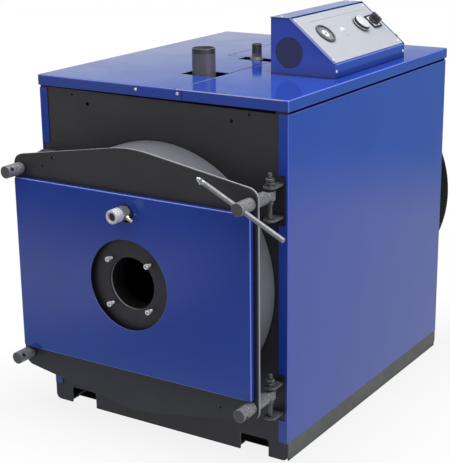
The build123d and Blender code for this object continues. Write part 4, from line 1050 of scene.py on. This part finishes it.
# Floor, background, light and camera
def floor():
    """White floor. What the enamel mirrors of it is bright near the boiler, blue behind and dark in front."""
    mesh = bpy.data.meshes.new("floor")
    reach = 30.0
    mesh.from_pydata([(-reach, -reach, 0), (reach, -reach, 0), (reach, reach, 0), (-reach, reach, 0)], [],
                     [(0, 1, 2, 3)])
    plane = bpy.data.objects.new("floor", mesh)
    bpy.context.scene.collection.objects.link(plane)
    plane.location.z = -0.0005
    m = Nodes("floor_white")
    m.finish(m.mix(m.noise(1.5, 3), srgb(0.66, 0.66, 0.66), srgb(0.68, 0.68, 0.68)), 0.8)

    def glow(color):
        light = m.add("ShaderNodeEmission")
        m.feed(color, light.inputs["Color"])
        return light.outputs[0]

    def blend(factor, a, b):
        node = m.add("ShaderNodeMixShader")
        m.link(factor, node.inputs[0])
        m.link(a, node.inputs[1])
        m.link(b, node.inputs[2])
        return node.outputs[0]

    x, y, _ = m.apart(m.place)

    # Seen by the camera: white, a little shaded close to the boiler, and a painted black shadow beneath it
    outside_x = m.calculate("SUBTRACT", m.calculate("ABSOLUTE", x), 0.36)
    outside_y = m.calculate("SUBTRACT", m.calculate("ABSOLUTE", m.calculate("SUBTRACT", y, 0.43)), 0.45)
    beside = m.calculate("MAXIMUM", outside_x, outside_y)
    seen = blend(m.spread(beside, 0.86, 1.0, 0.0, 0.4), m.shader.outputs[0], glow(WHITE))
    painted_shadow_beneath = m.calculate("MINIMUM", m.spread(beside, 1, 0, -0.006, -0.004), m.spread(y, 0, 1, 0.022, 0.026))
    seen = blend(painted_shadow_beneath, seen, glow((0.002, 0.002, 0.002, 1)))

    # Mirrored: bright near by, blue far behind, black in front except to the left and, less bright, far off
    centre = m.add("ShaderNodeCombineXYZ")
    m.link(m.calculate("SUBTRACT", x, 0.5), centre.inputs[0])
    m.link(m.calculate("SUBTRACT", y, 1.0), centre.inputs[1])
    distance = m.add("ShaderNodeVectorMath", operation="LENGTH")
    m.link(centre.outputs[0], distance.inputs[0])
    far = m.spread(distance.outputs["Value"], 0, 1, 1.2, 2.4)
    behind = m.mix(far, (0.82, 0.84, 0.86, 1), (0.30, 0.50, 0.78, 1))
    in_front = m.spread(y, 1, 0, -0.9, -0.5)
    beyond = m.spread(y, 0.6, 0, -4.4, -2.6)
    left = m.calculate("MULTIPLY", m.spread(x, 1.0, 0.35, -0.80, -0.40), m.spread(y, 0.2, 1.0, -1.9, -1.2))
    front = m.mix(m.calculate("MAXIMUM", left, beyond), (0.0, 0.0, 0.0, 1), (1.0, 0.95, 0.9, 1))
    mirrored = glow(m.mix(in_front, behind, front))

    rays = m.add("ShaderNodeLightPath")
    first = blend(rays.outputs["Is Camera Ray"], m.shader.outputs[0], seen)
    final = blend(rays.outputs["Is Glossy Ray"], first, mirrored)
    m.link(final, m.output.inputs[0])
    mesh.materials.append(m.material)


def world():
    """White where it is seen, a pale horizon under a dimmer blue where it is mirrored, and a soft light."""
    made_world = bpy.data.worlds.new("studio")
    made_world.use_nodes = True
    bpy.context.scene.world = made_world
    tree = made_world.node_tree
    tree.nodes.clear()
    output = tree.nodes.new("ShaderNodeOutputWorld")
    rays = tree.nodes.new("ShaderNodeLightPath")
    direction = tree.nodes.new("ShaderNodeTexCoord").outputs["Generated"]
    slant = tree.nodes.new("ShaderNodeVectorMath")
    slant.operation = "DOT_PRODUCT"
    slant.inputs[1].default_value = (0.141, 0, 1.0)
    tree.links.new(direction, slant.inputs[0])
    ramp = tree.nodes.new("ShaderNodeMapRange")
    ramp.interpolation_type = "SMOOTHSTEP"
    ramp.inputs["From Min"].default_value = 0.062
    ramp.inputs["From Max"].default_value = 0.112
    tree.links.new(slant.outputs["Value"], ramp.inputs["Value"])
    sky = tree.nodes.new("ShaderNodeMix")
    sky.data_type = "RGBA"
    tree.links.new(ramp.outputs["Result"], sky.inputs["Factor"])
    colors = [socket for socket in sky.inputs if socket.type == "RGBA"]
    colors[0].default_value = (0.88, 0.90, 0.72, 1)
    colors[1].default_value = (0.20, 0.25, 0.28, 1)
    mirrored = [socket for socket in sky.outputs if socket.type == "RGBA"][0]
    last = None
    for ray, color, strength in ((None, WHITE, 0.25), ("Is Glossy Ray", mirrored, 1.0),
                                 ("Is Camera Ray", WHITE, 1.0), ("Is Transmission Ray", WHITE, 1.0)):
        background = tree.nodes.new("ShaderNodeBackground")
        background.inputs["Strength"].default_value = strength
        if ray == "Is Glossy Ray":
            tree.links.new(color, background.inputs["Color"])
        else:
            background.inputs["Color"].default_value = color
        if ray is None:
            last = background.outputs[0]
            continue
        mix = tree.nodes.new("ShaderNodeMixShader")
        tree.links.new(rays.outputs[ray], mix.inputs[0])
        tree.links.new(last, mix.inputs[1])
        tree.links.new(background.outputs[0], mix.inputs[2])
        last = mix.outputs[0]
    tree.links.new(last, output.inputs[0])


def area_light(name, place, target, size, power):
    data = bpy.data.lights.new(name, "AREA")
    data.shape = "RECTANGLE"
    data.size, data.size_y = size
    data.energy = power
    lamp = bpy.data.objects.new(name, data)
    bpy.context.scene.collection.objects.link(lamp)
    lamp.location = place
    lamp.rotation_euler = (Vector(target) - Vector(place)).to_track_quat("-Z", "Y").to_euler()


def camera():
    data = bpy.data.cameras.new("camera")
    data.sensor_width = SENSOR
    data.lens = CAMERA_LENS
    data.clip_end = 100
    eye = bpy.data.objects.new("camera", data)
    bpy.context.scene.collection.objects.link(eye)
    level = math.cos(CAMERA_ELEVATION)
    back = Vector((math.sin(CAMERA_AZIMUTH) * level, -math.cos(CAMERA_AZIMUTH) * level,
                   math.sin(CAMERA_ELEVATION)))
    right = Vector((math.cos(CAMERA_AZIMUTH), math.sin(CAMERA_AZIMUTH), 0))
    up = back.cross(right)
    turned_right = math.cos(CAMERA_ROLL) * right + math.sin(CAMERA_ROLL) * up
    turned_up = math.cos(CAMERA_ROLL) * up - math.sin(CAMERA_ROLL) * right
    axes = Matrix((turned_right, turned_up, back)).transposed().to_4x4()
    eye.matrix_world = Matrix.Translation(CAMERA_PLACE) @ axes
    bpy.context.scene.camera = eye


floor()
world()
area_light("ceiling", (0.5, 0.1, 3.3), (0, 0.4, 0.4), (3.0, 3.0), 105)
area_light("right_side", (3.2, -0.6, 1.8), (0.2, 0.4, 0.5), (1.8, 1.8), 32)
area_light("left_front", (-1.8, -3.0, 1.6), (0, 0.0, 0.4), (1.6, 1.6), 10)
camera()
bpy.context.scene.view_settings.view_transform = "Standard"
